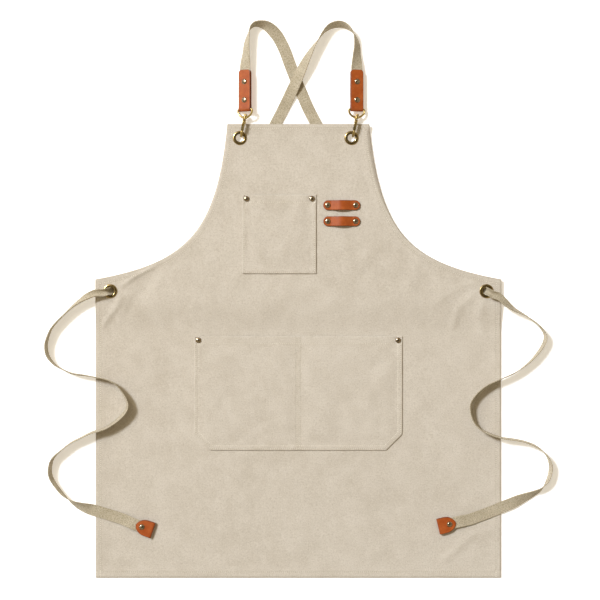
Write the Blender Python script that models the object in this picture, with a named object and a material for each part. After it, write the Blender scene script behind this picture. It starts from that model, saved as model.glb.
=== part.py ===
"""Cross-back artist's apron laid flat, front side up.

A hemmed canvas panel with a chest pocket, a two-bay waist pocket and two leather brush loops.
Four brass grommets: a swivel snap hook clips through each of the two at the bib's top, and the
webbing strap of each hook crosses behind the bib and comes out of the opposite waist grommet as
a tie with a leather tip.

Metres. X runs to the right, Y from the skirt to the bib and Z up. The floor is z = 0.
The origin lies on the floor below the middle of the panel's width.
"""

import math

import bmesh
import bpy
from mathutils import Matrix, Vector

MM = 0.001

# ---- driving dimensions ----

CLEARANCE = 0.3 * MM  # between pieces that touch

CANVAS = 0.9 * MM
HEM_WIDTH = 7.0 * MM
HEM_FOLD = 2 * CANVAS  # the turned hem lies under the panel's single layer

PANEL_WIDTH = 700.0 * MM
BIB_WIDTH = 245.0 * MM
BIB_TOP_Y = 303.0 * MM
WAIST_Y = 35.2 * MM
SKIRT_END_Y = -480.2 * MM
# The armhole is one cubic curve; these pull its two ends along the bib and along the waist.
ARMHOLE_BIB_PULL = (18.5 * MM, 186.0 * MM)
ARMHOLE_WAIST_PULL = (160.0 * MM, 28.5 * MM)
ARMHOLE_STEPS = 22

# The bib lies on the straps and on the hooks' backs, so it is higher than the skirt.
BIB_LIFT = 6.1 * MM
RAMP_START_Y = -60.0 * MM
RAMP_END_Y = 0.0 * MM
RAMP_STEPS = 6

GROMMET_BORE_R = 7.0 * MM
GROMMET_WALL = 0.5 * MM
GROMMET_FLANGE_R = 12.2 * MM
GROMMET_FLANGE_HEIGHT = 1.2 * MM
GROMMET_CURL_R = 9.3 * MM
WASHER_THICKNESS = 0.8 * MM
BIB_GROMMET_FROM_TOP = 24.2 * MM
BIB_GROMMET_FROM_SIDE = {"left": 21.5 * MM, "right": 31.0 * MM}
WAIST_GROMMET_FROM_SIDE = 25.8 * MM
WAIST_GROMMET_BELOW_CORNER = 20.4 * MM

RIVET_CAP_R = 4.8 * MM
RIVET_CAP_HEIGHT = 1.9 * MM
RIVET_BACK_HEIGHT = 1.2 * MM
RIVET_SHAFT_R = 1.4 * MM

CHEST_POCKET_WIDTH = 127.0 * MM
CHEST_POCKET_HEIGHT = 136.0 * MM
CHEST_POCKET_TOP_Y = 181.0 * MM
CHEST_POCKET_X = -32.7 * MM
WAIST_POCKET_WIDTH = 359.0 * MM
WAIST_POCKET_HEIGHT = 197.0 * MM
WAIST_POCKET_TOP_Y = -63.0 * MM
WAIST_POCKET_CORNER = 28.0 * MM
POCKET_DEPTH = 6.0 * MM  # how far a pocket's front stands off the panel
POCKET_SEAM = 6.0 * MM
POCKET_RISE = 22.0 * MM
POCKET_RIVET_INSET = 7.0 * MM

LOOP_LENGTH = 63.5 * MM
LOOP_WIDTH = 17.0 * MM
LOOP_LEATHER = 1.8 * MM
LOOP_RISE = 5.2 * MM
LOOP_RIVET_SPACING = 48.0 * MM
LOOP_FLAT_SPAN = 27.0 * MM  # the length that stands at the full rise
LOOP_X = 74.6 * MM
LOOP_Y = (162.9 * MM, 135.2 * MM)

WEBBING_WIDTH = 20.0 * MM
WEBBING = 1.6 * MM
BUNCHED_WIDTH = 9.0 * MM  # the webbing folded together inside a grommet
BUNCHED = 3.2 * MM

HOOK_WIRE_R = 1.6 * MM
HOOK_GAP = 13.4 * MM  # between the hook's back and its gate
HOOK_BASE_LENGTH = 6.0 * MM
HOOK_BASE_THICKNESS = 5.2 * MM
HOOK_SIDEWAYS = 2.5 * MM  # the hook passes its grommet this far off the bore's middle
HOOK_PAST_GROMMET = 2.4 * MM  # how far above the bore's middle the hook's bend lies
NOSE_STRAIGHT = 0.8 * MM
POST_R = 1.5 * MM
POST_HEAD_R = 3.3 * MM
POST_HEAD_LENGTH = 2.3 * MM
COLLAR_R = 4.2 * MM
COLLAR_BORE_R = 2.5 * MM
COLLAR_LENGTH = 4.5 * MM
COLLAR_ABOVE_BIB = 10.9 * MM
SWIVEL_PLAY = 0.95 * MM  # lets the post lean inside the collar
GATE_WIDTH = 2.4 * MM
GATE_HEIGHT = 3.0 * MM
GATE_PIN_R = 0.7 * MM
THUMB_LEVER = 3.0 * MM

EYE_WIRE_R = 1.5 * MM
EYE_HEIGHT = 14.0 * MM
EYE_HALF_WIDTH = 13.6 * MM
EYE_CORNER_R = 2.2 * MM
EYE_X = {"left": -91.8 * MM, "right": 100.6 * MM}

CONNECTOR_WIDTH = 22.4 * MM
CONNECTOR_LENGTH = 68.0 * MM  # from the eye's bar to the leather's end
CONNECTOR_LEATHER = 2.0 * MM
CONNECTOR_CORNER = 5.0 * MM
CONNECTOR_RIVETS = (16.0 * MM, 47.5 * MM)
CONNECTOR_ROLL = {"left": -26.0, "right": 12.0}  # degrees about the strap's own length
STUB_PAST_LEATHER = 1.7 * MM

TIP_WIDTH = 27.5 * MM
TIP_LENGTH = 30.6 * MM
TIP_LEATHER = 1.6 * MM
TIP_RIVET_FROM_END = 19.5 * MM
TIP_SHARPNESS = 11.0 * MM  # where the tip's sides start to round towards the strap

SIDES = ("left", "right")
OPPOSITE = {"left": "right", "right": "left"}
SIGN = {"left": -1.0, "right": 1.0}

# ---- places worked out from them ----

PANEL_THICKNESS = HEM_FOLD + CANVAS
SKIRT_TOP = PANEL_THICKNESS
BIB_TOP = BIB_LIFT + PANEL_THICKNESS
BIB_LAYER_BOTTOM = BIB_LIFT + HEM_FOLD
HOOK_HALF = HOOK_GAP / 2 + HOOK_WIRE_R
HOOK_Z = CLEARANCE + HOOK_WIRE_R + HOOK_HALF
COLLAR_Y = BIB_TOP_Y + COLLAR_ABOVE_BIB
EYE_BAR_Y = COLLAR_Y + EYE_HEIGHT
CONNECTOR_LAYER = WEBBING / 2 + CLEARANCE + CONNECTOR_LEATHER / 2
BIB_GROMMET = {
    side: Vector(
        (
            SIGN[side] * (BIB_WIDTH / 2 - BIB_GROMMET_FROM_SIDE[side]),
            BIB_TOP_Y - BIB_GROMMET_FROM_TOP,
            0,
        )
    )
    for side in SIDES
}
WAIST_GROMMET = {
    side: Vector(
        (
            SIGN[side] * (PANEL_WIDTH / 2 - WAIST_GROMMET_FROM_SIDE),
            WAIST_Y - WAIST_GROMMET_BELOW_CORNER,
            0,
        )
    )
    for side in SIDES
}

# The straps' routes: (x, y, z, roll), lengths in millimetres and roll in degrees, where a roll
# of 90 stands the webbing on its edge. A shoulder route starts from its connector's end, and a
# tie's route from the middle of its waist grommet.
SHOULDER_ROUTE = {
    "left": [
        (0.5, 12, 10.0, -34),
        (1.5, 26, 10.4, -52),
        (2.4, 43, 10.6, -62),
        (5.6, 60, 10.5, -78),
        (9.5, 71, 10.5, -92),
        (16.5, 76.6, 10.5, -104),
        (26, 77.4, 10.2, -116),
        (36, 75, 8.2, -136),
        (45, 69, 5.6, -158),
        (52.5, 61, 2.6, -174),
        (60, 50, 1.15, -180),
        (69, 31, 1.1, -180),
        (77, 9, 1.1, -180),
        (86, -14, 1.1, -180),
        (98, -43, 1.1, -180),
        (110, -70, 1.1, -180),
        (123.5, -96, 1.1, -180),
        (147, -144, 1.1, -180),
        (174, -193, 1.1, -180),
        (205, -242, 1.1, -180),
        (243, -290, 1.1, -180),
        (294, -330, 1.1, -180),
        (354, -358, 1.1, -180),
    ],
    "right": [
        (0.1, 9, 10.4, 24),
        (0.2, 23, 11.2, 44),
        (0.6, 40, 11.0, 58),
        (-3, 56, 10.6, 76),
        (-9.5, 66.5, 10.6, 92),
        (-19.5, 74, 10.6, 108),
        (-32, 76.6, 10.6, 116),
        (-46, 72.6, 10.6, 110),
        (-56.5, 64, 10.6, 96),
        (-66, 50.8, 10.6, 84),
        (-75.5, 36.5, 10.6, 70),
        (-86, 17.5, 10.6, 50),
        (-95.5, -2.5, 8.6, 32),
        (-105.5, -24, 6.0, 17),
        (-114, -42, 3.6, 6),
        (-121.5, -58, 1.8, 0),
        (-131, -77, 1.1, 0),
        (-140, -94.5, 1.1, 0),
        (-162, -142, 1.1, 0),
        (-189, -192, 1.1, 0),
        (-220, -242, 1.1, 0),
        (-256, -289, 1.1, 0),
        (-305, -329, 1.1, 0),
        (-363, -357, 1.1, 0),
    ],
}
TIE_ROUTE = {
    "left": [
        (-26.5, -6, 16.4, 36),
        (-39, -11.5, 15.6, 54),
        (-52, -18.5, 12.4, 70),
        (-69, -31, 10.7, 80),
        (-86.5, -48, 10.6, 88),
        (-101, -65, 10.6, 90),
        (-108.5, -84, 10.6, 94),
        (-110, -98, 10.6, 96),
        (-106.5, -112.5, 10.6, 95),
        (-95.5, -126, 10.6, 90),
        (-81, -135, 11.0, 84),
        (-63.5, -142, 12.2, 80),
        (-42.5, -145, 13.3, 82),
        (-23, -148.5, 13.4, 84),
        (-7, -152, 13.4, 84),
        (7.5, -158.5, 13.4, 84),
        (19, -171, 13.4, 82),
        (27, -184, 13.3, 78),
        (30, -197, 13.2, 74),
        (25, -209.5, 13.2, 74),
        (12.5, -222, 13.2, 76),
        (-3.5, -233.5, 13.3, 80),
        (-16, -238.7, 13.4, 82),
        (-33.5, -244.5, 13.3, 84),
        (-51, -253, 12.0, 86),
        (-68.5, -262, 10.8, 87),
        (-86.5, -276, 10.6, 90),
        (-98.5, -288.5, 10.6, 95),
        (-103, -302.5, 10.6, 99),
        (-102.3, -318.5, 10.6, 99),
        (-93.5, -334.5, 10.6, 96),
        (-80, -351, 10.6, 90),
        (-64.5, -363.5, 10.6, 66),
        (-48, -371.5, 8.4, 36),
        (-35, -376, 5.4, 12),
        (-22.5, -379.8, 4.2, 2),
        (1.5, -387.2, 3.9, 0),
        (20, -393, 4.6, 0),
    ],
    "right": [
        (20, -11.5, 15.6, -30),
        (30.5, -21.5, 15.8, -52),
        (44, -31, 12.6, -68),
        (57, -37.5, 11.0, -78),
        (69, -43.5, 10.6, -84),
        (88.5, -58, 10.6, -90),
        (99.5, -72, 10.6, -94),
        (100.8, -84, 10.6, -96),
        (93.5, -99, 10.6, -95),
        (77, -119, 10.8, -90),
        (52.5, -138.5, 12.0, -82),
        (29, -149.5, 13.4, -82),
        (2.5, -161.5, 13.4, -80),
        (-14, -175, 13.3, -74),
        (-24, -189, 13.2, -70),
        (-27, -201, 13.2, -70),
        (-24, -218.5, 13.3, -74),
        (-14, -234.5, 13.4, -80),
        (2, -244.5, 13.4, -84),
        (25.5, -252.5, 13.4, -86),
        (45.5, -255.5, 12.4, -86),
        (65, -259.5, 10.9, -86),
        (85, -267.5, 10.6, -84),
        (101, -280, 10.6, -90),
        (109.5, -296, 10.6, -96),
        (109.5, -312, 10.6, -97),
        (104, -328, 10.6, -92),
        (93, -341.5, 10.6, -68),
        (79.5, -349, 9.6, -52),
        (65.5, -355.5, 7.6, -34),
        (52, -362, 5.4, -14),
        (41, -367.3, 4.4, -4),
        (25.5, -373.5, 3.9, 0),
        (6, -381.5, 3.9, 0),
        (-14, -389, 3.9, 0),
        (-29, -394, 4.6, 0),
    ],
}
TIP_PLACE = {  # the middle of the straight end, and the direction that it points in, degrees
    "left": ((73.0, -412.6), -19.0),
    "right": ((-82.6, -406.2), -166.0),
}
TIP_Z = 7.3 * MM
ROUTE_SPACING = 9.0 * MM


# ---- helpers for meshes ----


def clear_scene():
    for found in list(bpy.data.objects):
        bpy.data.objects.remove(found)


def new_material(name, colour, roughness, metallic=0.0):
    material = bpy.data.materials.new(name)
    material.use_nodes = True
    shader = material.node_tree.nodes["Principled BSDF"]
    shader.inputs["Base Color"].default_value = (*colour, 1.0)
    shader.inputs["Roughness"].default_value = roughness
    shader.inputs["Metallic"].default_value = metallic
    return material


def finish(name, mesh_data, material, place=None, sharp=35):
    """Turns a bmesh into a named, smooth-shaded object whose faces point outwards."""
    bmesh.ops.recalc_face_normals(mesh_data, faces=mesh_data.faces)
    mesh = bpy.data.meshes.new(name)
    mesh_data.to_mesh(mesh)
    mesh_data.free()
    mesh.materials.append(material)
    mesh.shade_smooth()
    mesh.set_sharp_from_angle(angle=math.radians(sharp))
    made = bpy.data.objects.new(name, mesh)
    bpy.context.scene.collection.objects.link(made)
    if place is not None:
        made.matrix_world = place
    return made


def skin(rings, closed):
    """A bmesh over rings of points: a tube with end caps, or a closed loop of a tube."""
    mesh_data = bmesh.new()
    made = [[mesh_data.verts.new(point) for point in ring] for ring in rings]
    pairs = list(zip(made, made[1:] + made[:1])) if closed else list(zip(made, made[1:]))
    for ring, after in pairs:
        for i in range(len(ring)):
            j = (i + 1) % len(ring)
            mesh_data.faces.new((ring[i], ring[j], after[j], after[i]))
    if not closed:
        mesh_data.faces.new(made[0])
        mesh_data.faces.new(made[-1])
    return mesh_data


def turned(profile, segments):
    """A bmesh turned about Z from (radius, z) points; a closed ring, or a solid if it starts
    and ends on the axis."""
    mesh_data = bmesh.new()
    on_axis = profile[0][0] == 0
    columns = []
    for i in range(segments):
        angle = math.tau * i / segments
        direction = (math.cos(angle), math.sin(angle))
        columns.append(
            [
                mesh_data.verts.new((r * direction[0], r * direction[1], z))
                for r, z in (profile[1:-1] if on_axis else profile)
            ]
        )
    if on_axis:
        first = mesh_data.verts.new((0, 0, profile[0][1]))
        last = mesh_data.verts.new((0, 0, profile[-1][1]))
    for i in range(segments):
        here, there = columns[i], columns[(i + 1) % segments]
        rows = range(len(here) - 1) if on_axis else range(len(here))
        for j in rows:
            k = (j + 1) % len(here)
            mesh_data.faces.new((here[j], there[j], there[k], here[k]))
        if on_axis:
            mesh_data.faces.new((first, there[0], here[0]))
            mesh_data.faces.new((last, here[-1], there[-1]))
    return mesh_data


def wire(path, radius, sides, plane_normal, closed):
    """A round wire along a flat path."""
    rings = []
    count = len(path)
    for i, point in enumerate(path):
        before = path[i - 1] if closed or i > 0 else point
        after = path[(i + 1) % count] if closed or i < count - 1 else point
        along = (after - before).normalized()
        across = plane_normal.cross(along).normalized()
        rings.append(
            [
                point
                + radius * math.cos(math.tau * k / sides) * across
                + radius * math.sin(math.tau * k / sides) * plane_normal
                for k in range(sides)
            ]
        )
    return skin(rings, closed)


def arc(centre, radius_x, radius_y, start, end, steps):
    """Points in the XY plane on an ellipse about centre, angles in degrees."""
    points = []
    for i in range(steps + 1):
        angle = math.radians(start + (end - start) * i / steps)
        offset = Vector((radius_x * math.cos(angle), radius_y * math.sin(angle), 0))
        points.append(centre + offset)
    return points


def cylinder(mesh_data, radius, length, place, segments=16):
    bmesh.ops.create_cone(
        mesh_data,
        cap_ends=True,
        segments=segments,
        radius1=radius,
        radius2=radius,
        depth=length,
        matrix=place,
    )


def boolean(target, tool_mesh, operation, label):
    """Cuts target with a hidden tool, or joins the tool's shape to it."""
    bmesh.ops.recalc_face_normals(tool_mesh, faces=tool_mesh.faces)
    mesh = bpy.data.meshes.new(f"{target.name}_{label}")
    tool_mesh.to_mesh(mesh)
    tool_mesh.free()
    tool = bpy.data.objects.new(f"{target.name}_{label}", mesh)
    bpy.context.scene.collection.objects.link(tool)
    tool.matrix_world = target.matrix_world
    tool.hide_render = True
    tool.display_type = "WIRE"
    modifier = target.modifiers.new(label, "BOOLEAN")
    modifier.operation = operation
    modifier.object = tool


def drill(target, holes, radius, length=60 * MM, segments=16):
    """Drills holes along the target's own Z at the given points."""
    tool_mesh = bmesh.new()
    for hole in holes:
        cylinder(tool_mesh, radius, length, Matrix.Translation(hole), segments)
    boolean(target, tool_mesh, "DIFFERENCE", "holes")


# ---- the canvas panel ----


def lift(y):
    """How high the panel's hem lies above the floor at y."""
    t = min(1.0, max(0.0, (y - RAMP_START_Y) / (RAMP_END_Y - RAMP_START_Y)))
    return BIB_LIFT * t * t * (3 - 2 * t)


def armhole(side):
    """The armhole's edge from the waist corner up to the bib's top corner."""
    waist = Vector((PANEL_WIDTH / 2, WAIST_Y))
    bib = Vector((BIB_WIDTH / 2, BIB_TOP_Y))
    near_waist = waist + Vector((-ARMHOLE_WAIST_PULL[0], ARMHOLE_WAIST_PULL[1]))
    near_bib = bib + Vector((ARMHOLE_BIB_PULL[0], -ARMHOLE_BIB_PULL[1]))
    points = []
    for i in range(ARMHOLE_STEPS + 1):
        t = i / ARMHOLE_STEPS
        s = 1 - t
        point = s**3 * waist + 3 * s * s * t * near_waist + 3 * s * t * t * near_bib + t**3 * bib
        points.append(Vector((SIGN[side] * point.x, point.y)))
    return points


def panel_outline():
    """The panel's edge, anticlockwise from the skirt's left corner."""
    left = Vector((-PANEL_WIDTH / 2, SKIRT_END_Y))
    right = Vector((PANEL_WIDTH / 2, SKIRT_END_Y))
    return [left, right] + armhole("right") + armhole("left")[::-1]


def inset(outline, distance):
    """The same outline moved inwards by distance, with mitred corners."""
    moved = []
    count = len(outline)
    for i, point in enumerate(outline):
        before = (point - outline[i - 1]).normalized()
        after = (outline[(i + 1) % count] - point).normalized()
        inward_before = Vector((-before.y, before.x))
        inward_after = Vector((-after.y, after.x))
        middle = (inward_before + inward_after).normalized()
        moved.append(point + middle * distance / middle.dot(inward_before))
    return moved


def make_panel(canvas):
    """One canvas layer whose edge is turned under twice, bent up from the skirt to the bib."""
    mesh_data = bmesh.new()
    outer = panel_outline()
    inner = inset(outer, HEM_WIDTH)
    rings = [
        [mesh_data.verts.new((p.x, p.y, z)) for p in outline]
        for outline, z in (
            (outer, PANEL_THICKNESS),
            (outer, 0.0),
            (inner, 0.0),
            (inner, HEM_FOLD),
        )
    ]
    count = len(outer)
    for ring, after in zip(rings, rings[1:]):
        for i in range(count):
            j = (i + 1) % count
            mesh_data.faces.new((ring[i], ring[j], after[j], after[i]))
    mesh_data.faces.new(rings[0])
    mesh_data.faces.new(rings[-1])
    for step in range(RAMP_STEPS + 1):
        y = RAMP_START_Y + (RAMP_END_Y - RAMP_START_Y) * step / RAMP_STEPS
        bmesh.ops.bisect_plane(
            mesh_data,
            geom=mesh_data.verts[:] + mesh_data.edges[:] + mesh_data.faces[:],
            plane_co=(0, y, 0),
            plane_no=(0, 1, 0),
            dist=1e-6,
        )
    for vertex in mesh_data.verts:
        vertex.co.z += lift(vertex.co.y)
    panel = finish("apron_panel", mesh_data, canvas)
    tool_mesh = bmesh.new()
    hole_r = GROMMET_BORE_R + GROMMET_WALL + CLEARANCE
    for side in SIDES:
        for centre in (BIB_GROMMET[side], WAIST_GROMMET[side]):
            cylinder(tool_mesh, hole_r, 60 * MM, Matrix.Translation(centre), 28)
    for point in panel_rivet_points():
        cylinder(tool_mesh, RIVET_SHAFT_R + CLEARANCE, 60 * MM, Matrix.Translation(point))
    boolean(panel, tool_mesh, "DIFFERENCE", "holes")
    return panel


# ---- pockets and brush loops ----


def smooth(value):
    value = min(1.0, max(0.0, value))
    return value * value * (3 - 2 * value)


def chest_rivets():
    x = CHEST_POCKET_WIDTH / 2 - POCKET_RIVET_INSET
    y = CHEST_POCKET_TOP_Y - POCKET_RIVET_INSET
    return [Vector((CHEST_POCKET_X + sign * x, y, 0)) for sign in (-1, 1)]


def waist_rivets():
    x = WAIST_POCKET_WIDTH / 2 - POCKET_RIVET_INSET
    y = WAIST_POCKET_TOP_Y - POCKET_RIVET_INSET
    return [Vector((sign * x, y, 0)) for sign in (-1, 1)]


def loop_rivets(y):
    return [Vector((LOOP_X + sign * LOOP_RIVET_SPACING / 2, y, 0)) for sign in (-1, 1)]


def panel_rivet_points():
    return chest_rivets() + waist_rivets() + loop_rivets(LOOP_Y[0]) + loop_rivets(LOOP_Y[1])


def stations(length, fixed, most):
    """Positions from 0 to length with a line at each fixed one and no step over most."""
    marks = sorted({0.0, length, *fixed})
    found = []
    for low, high in zip(marks, marks[1:]):
        steps = max(1, math.ceil((high - low) / most - 1e-6))
        found += [low + (high - low) * i / steps for i in range(steps)]
    return found + [length]


def make_pocket(name, centre_x, top_y, width, height, corner, split, rivets, canvas):
    """A patch sewn down on three sides: its front stands off the panel, open at the top."""
    edge = POCKET_SEAM
    rise = POCKET_RISE
    fixed_x = [edge, edge + rise, width - edge - rise, width - edge]
    if split:
        fixed_x += [width / 2 - rise, width / 2 - edge / 2, width / 2 + edge / 2, width / 2 + rise]
    cap = RIVET_CAP_R + 4 * CLEARANCE
    rivet_rows = [height - POCKET_RIVET_INSET + sign * cap for sign in (-1, 1)]
    fixed_x += [POCKET_RIVET_INSET + cap, width - POCKET_RIVET_INSET - cap]
    columns = stations(width, fixed_x, 18 * MM)
    rows = stations(height, [edge, edge + rise, *rivet_rows, height - 34 * MM], 22 * MM)

    def stand_off(x, y):
        """y from the pocket's closed lower edge, x from its left side."""
        side = min(x, width - x)
        cut = (side + y - corner) / math.sqrt(2) if corner else side
        amount = smooth((min(side, cut) - edge) / rise) * smooth((y - edge) / rise)
        here = Vector((centre_x - width / 2 + x, top_y - height + y, 0))
        from_rivet = min((here - rivet).length for rivet in rivets)
        amount *= smooth((from_rivet - RIVET_CAP_R - 3 * CLEARANCE) / rise)
        if split:
            amount *= smooth((abs(x - width / 2) - edge / 2) / (rise - edge / 2))
        return POCKET_DEPTH * amount

    def row_ends(y):
        """The corner cuts narrow the lower rows."""
        trimmed = max(0.0, corner - y)
        return trimmed, width - trimmed

    mesh_data = bmesh.new()
    layers = []
    for layer in range(2):
        grid = []
        for y in rows:
            low, high = row_ends(y)
            line = []
            for column in columns:
                x = low + (high - low) * column / width
                world_y = top_y - height + y
                z = lift(world_y) + PANEL_THICKNESS + CLEARANCE + stand_off(x, y)
                z += CANVAS * layer
                line.append(mesh_data.verts.new((centre_x - width / 2 + x, world_y, z)))
            grid.append(line)
        layers.append(grid)
    for grid in layers:
        for low, high in zip(grid, grid[1:]):
            for i in range(len(low) - 1):
                mesh_data.faces.new((low[i], low[i + 1], high[i + 1], high[i]))
    bottom, top = layers
    last = len(columns) - 1
    for i in range(last):
        mesh_data.faces.new((bottom[0][i], bottom[0][i + 1], top[0][i + 1], top[0][i]))
        mesh_data.faces.new((bottom[-1][i], bottom[-1][i + 1], top[-1][i + 1], top[-1][i]))
    for low, high in zip(range(len(rows) - 1), range(1, len(rows))):
        for i in (0, last):
            mesh_data.faces.new((bottom[low][i], bottom[high][i], top[high][i], top[low][i]))
    pocket = finish(name, mesh_data, canvas)
    drill(pocket, rivets, RIVET_SHAFT_R + CLEARANCE)
    return pocket


def make_brush_loop(name, y, leather):
    """A leather strip riveted down at both ends and standing off the canvas between them."""
    reach = LOOP_LENGTH / 2
    seat = LOOP_RIVET_SPACING / 2 - RIVET_CAP_R
    marks = [reach - LOOP_WIDTH / 2 * (1 - math.cos(a)) for a in (0.0, 0.45, 0.8, 1.1, 1.35, 1.5)]
    half = sorted({*marks, seat, LOOP_FLAT_SPAN / 2})
    half = [*half, reach]
    half += [LOOP_FLAT_SPAN / 2 + (seat - LOOP_FLAT_SPAN / 2) * t for t in (0.25, 0.5, 0.75)]
    places = sorted({round(sign * x, 7) for x in half for sign in (-1, 1)} | {0.0})
    rings = []
    for x in places:
        over = max(0.0, abs(x) - (reach - LOOP_WIDTH / 2))
        wide = math.sqrt(max((LOOP_WIDTH / 2) ** 2 - over**2, (1.2 * MM) ** 2))
        up = LOOP_RISE * smooth((seat - abs(x)) / (seat - LOOP_FLAT_SPAN / 2))
        low = BIB_TOP + CLEARANCE + up
        high = low + LOOP_LEATHER
        corners = ((-wide, low), (wide, low), (wide, high), (-wide, high))
        rings.append([Vector((LOOP_X + x, y + across, z)) for across, z in corners])
    made = finish(name, skin(rings, closed=False), leather)
    drill(made, loop_rivets(y), RIVET_SHAFT_R + CLEARANCE)
    return made


# ---- rivets and grommets ----


def make_rivet(name, stack, place, brass):
    """A double-cap rivet through a stack of the given thickness. Its middle is the stack's."""
    seat = stack / 2 + CLEARANCE
    cap = [
        (RIVET_CAP_R, seat),
        (RIVET_CAP_R, seat + 0.35 * RIVET_CAP_HEIGHT),
        (0.72 * RIVET_CAP_R, seat + 0.82 * RIVET_CAP_HEIGHT),
        (0, seat + RIVET_CAP_HEIGHT),
    ]
    back = [
        (0, -seat - RIVET_BACK_HEIGHT),
        (0.8 * RIVET_CAP_R, -seat - RIVET_BACK_HEIGHT),
        (RIVET_CAP_R, -seat - 0.5 * RIVET_BACK_HEIGHT),
        (RIVET_CAP_R, -seat),
    ]
    profile = back + [(RIVET_SHAFT_R, -seat), (RIVET_SHAFT_R, seat)] + cap
    return finish(name, turned(profile, 16), brass, place)


def make_flat_rivets(canvas_rivets, brass):
    """Rivets through the panel: each through one more layer of canvas or leather."""
    for name, point, layer in canvas_rivets:
        bottom = lift(point.y) + HEM_FOLD
        top = bottom + CANVAS + CLEARANCE + layer
        place = Matrix.Translation((point.x, point.y, (bottom + top) / 2))
        make_rivet(name, top - bottom, place, brass)


def make_grommet(name, centre, brass):
    """A flanged eyelet pressed from the front, its foot curled over a washer at the back."""
    top = BIB_TOP + CLEARANCE
    washer_top = BIB_LAYER_BOTTOM - CLEARANCE
    washer_bottom = washer_top - WASHER_THICKNESS
    foot = washer_bottom - CLEARANCE
    bore = GROMMET_BORE_R
    wall = bore + GROMMET_WALL
    crown = top + GROMMET_FLANGE_HEIGHT
    profile = [
        (bore, foot - 0.5 * MM),
        (bore + 0.6 * MM, foot - 0.8 * MM),
        (GROMMET_CURL_R - 0.5 * MM, foot - 0.6 * MM),
        (GROMMET_CURL_R, foot),
        (wall, foot),
        (wall, top),
        (GROMMET_FLANGE_R, top),
        (GROMMET_FLANGE_R - 0.4 * MM, top + 0.55 * GROMMET_FLANGE_HEIGHT),
        (GROMMET_FLANGE_R - 2.0 * MM, crown),
        (bore + 1.6 * MM, crown),
        (bore + 0.3 * MM, top + 0.6 * GROMMET_FLANGE_HEIGHT),
        (bore, top),
    ]
    place = Matrix.Translation((centre.x, centre.y, 0))
    finish(f"{name}_eyelet", turned(profile, 28), brass, place)
    ring = [
        (wall + CLEARANCE, washer_bottom),
        (GROMMET_FLANGE_R, washer_bottom),
        (GROMMET_FLANGE_R, washer_top),
        (wall + CLEARANCE, washer_top),
    ]
    finish(f"{name}_washer", turned(ring, 28), brass, place)


# ---- the swivel snap hooks ----

HOOK_BEND_Y = BIB_TOP_Y - BIB_GROMMET_FROM_TOP + HOOK_PAST_GROMMET
BASE_TOP = -(COLLAR_LENGTH / 2 + CLEARANCE + SWIVEL_PLAY)
BASE_BOTTOM = BASE_TOP - HOOK_BASE_LENGTH
GATE_PIN = Vector((0, BASE_TOP - 0.68 * HOOK_BASE_LENGTH, HOOK_HALF))


def hook_lean(side):
    """The hook's direction seen from above: from its grommet to its swivel's collar."""
    bend_x = BIB_GROMMET[side].x + HOOK_SIDEWAYS
    return math.atan2(EYE_X[side] - bend_x, COLLAR_Y - HOOK_BEND_Y)


def hook_place(side):
    """The hook's own frame: origin in the collar, Y along the post and Z to the gate's side."""
    at = Matrix.Translation((EYE_X[side], COLLAR_Y, HOOK_Z))
    return at @ Matrix.Rotation(-hook_lean(side), 4, "Z")


def hook_bend(side):
    """How far the middle of the hook's bend lies below the collar, in the hook's frame."""
    run = (COLLAR_Y - HOOK_BEND_Y) / math.cos(hook_lean(side))
    return -run + HOOK_HALF


def slab(outline, half_width):
    """A bmesh of a plate: an outline of (y, z) points carried from -half_width to half_width."""
    rings = [[Vector((x, y, z)) for y, z in outline] for x in (-half_width, half_width)]
    return skin(rings, closed=False)


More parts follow.
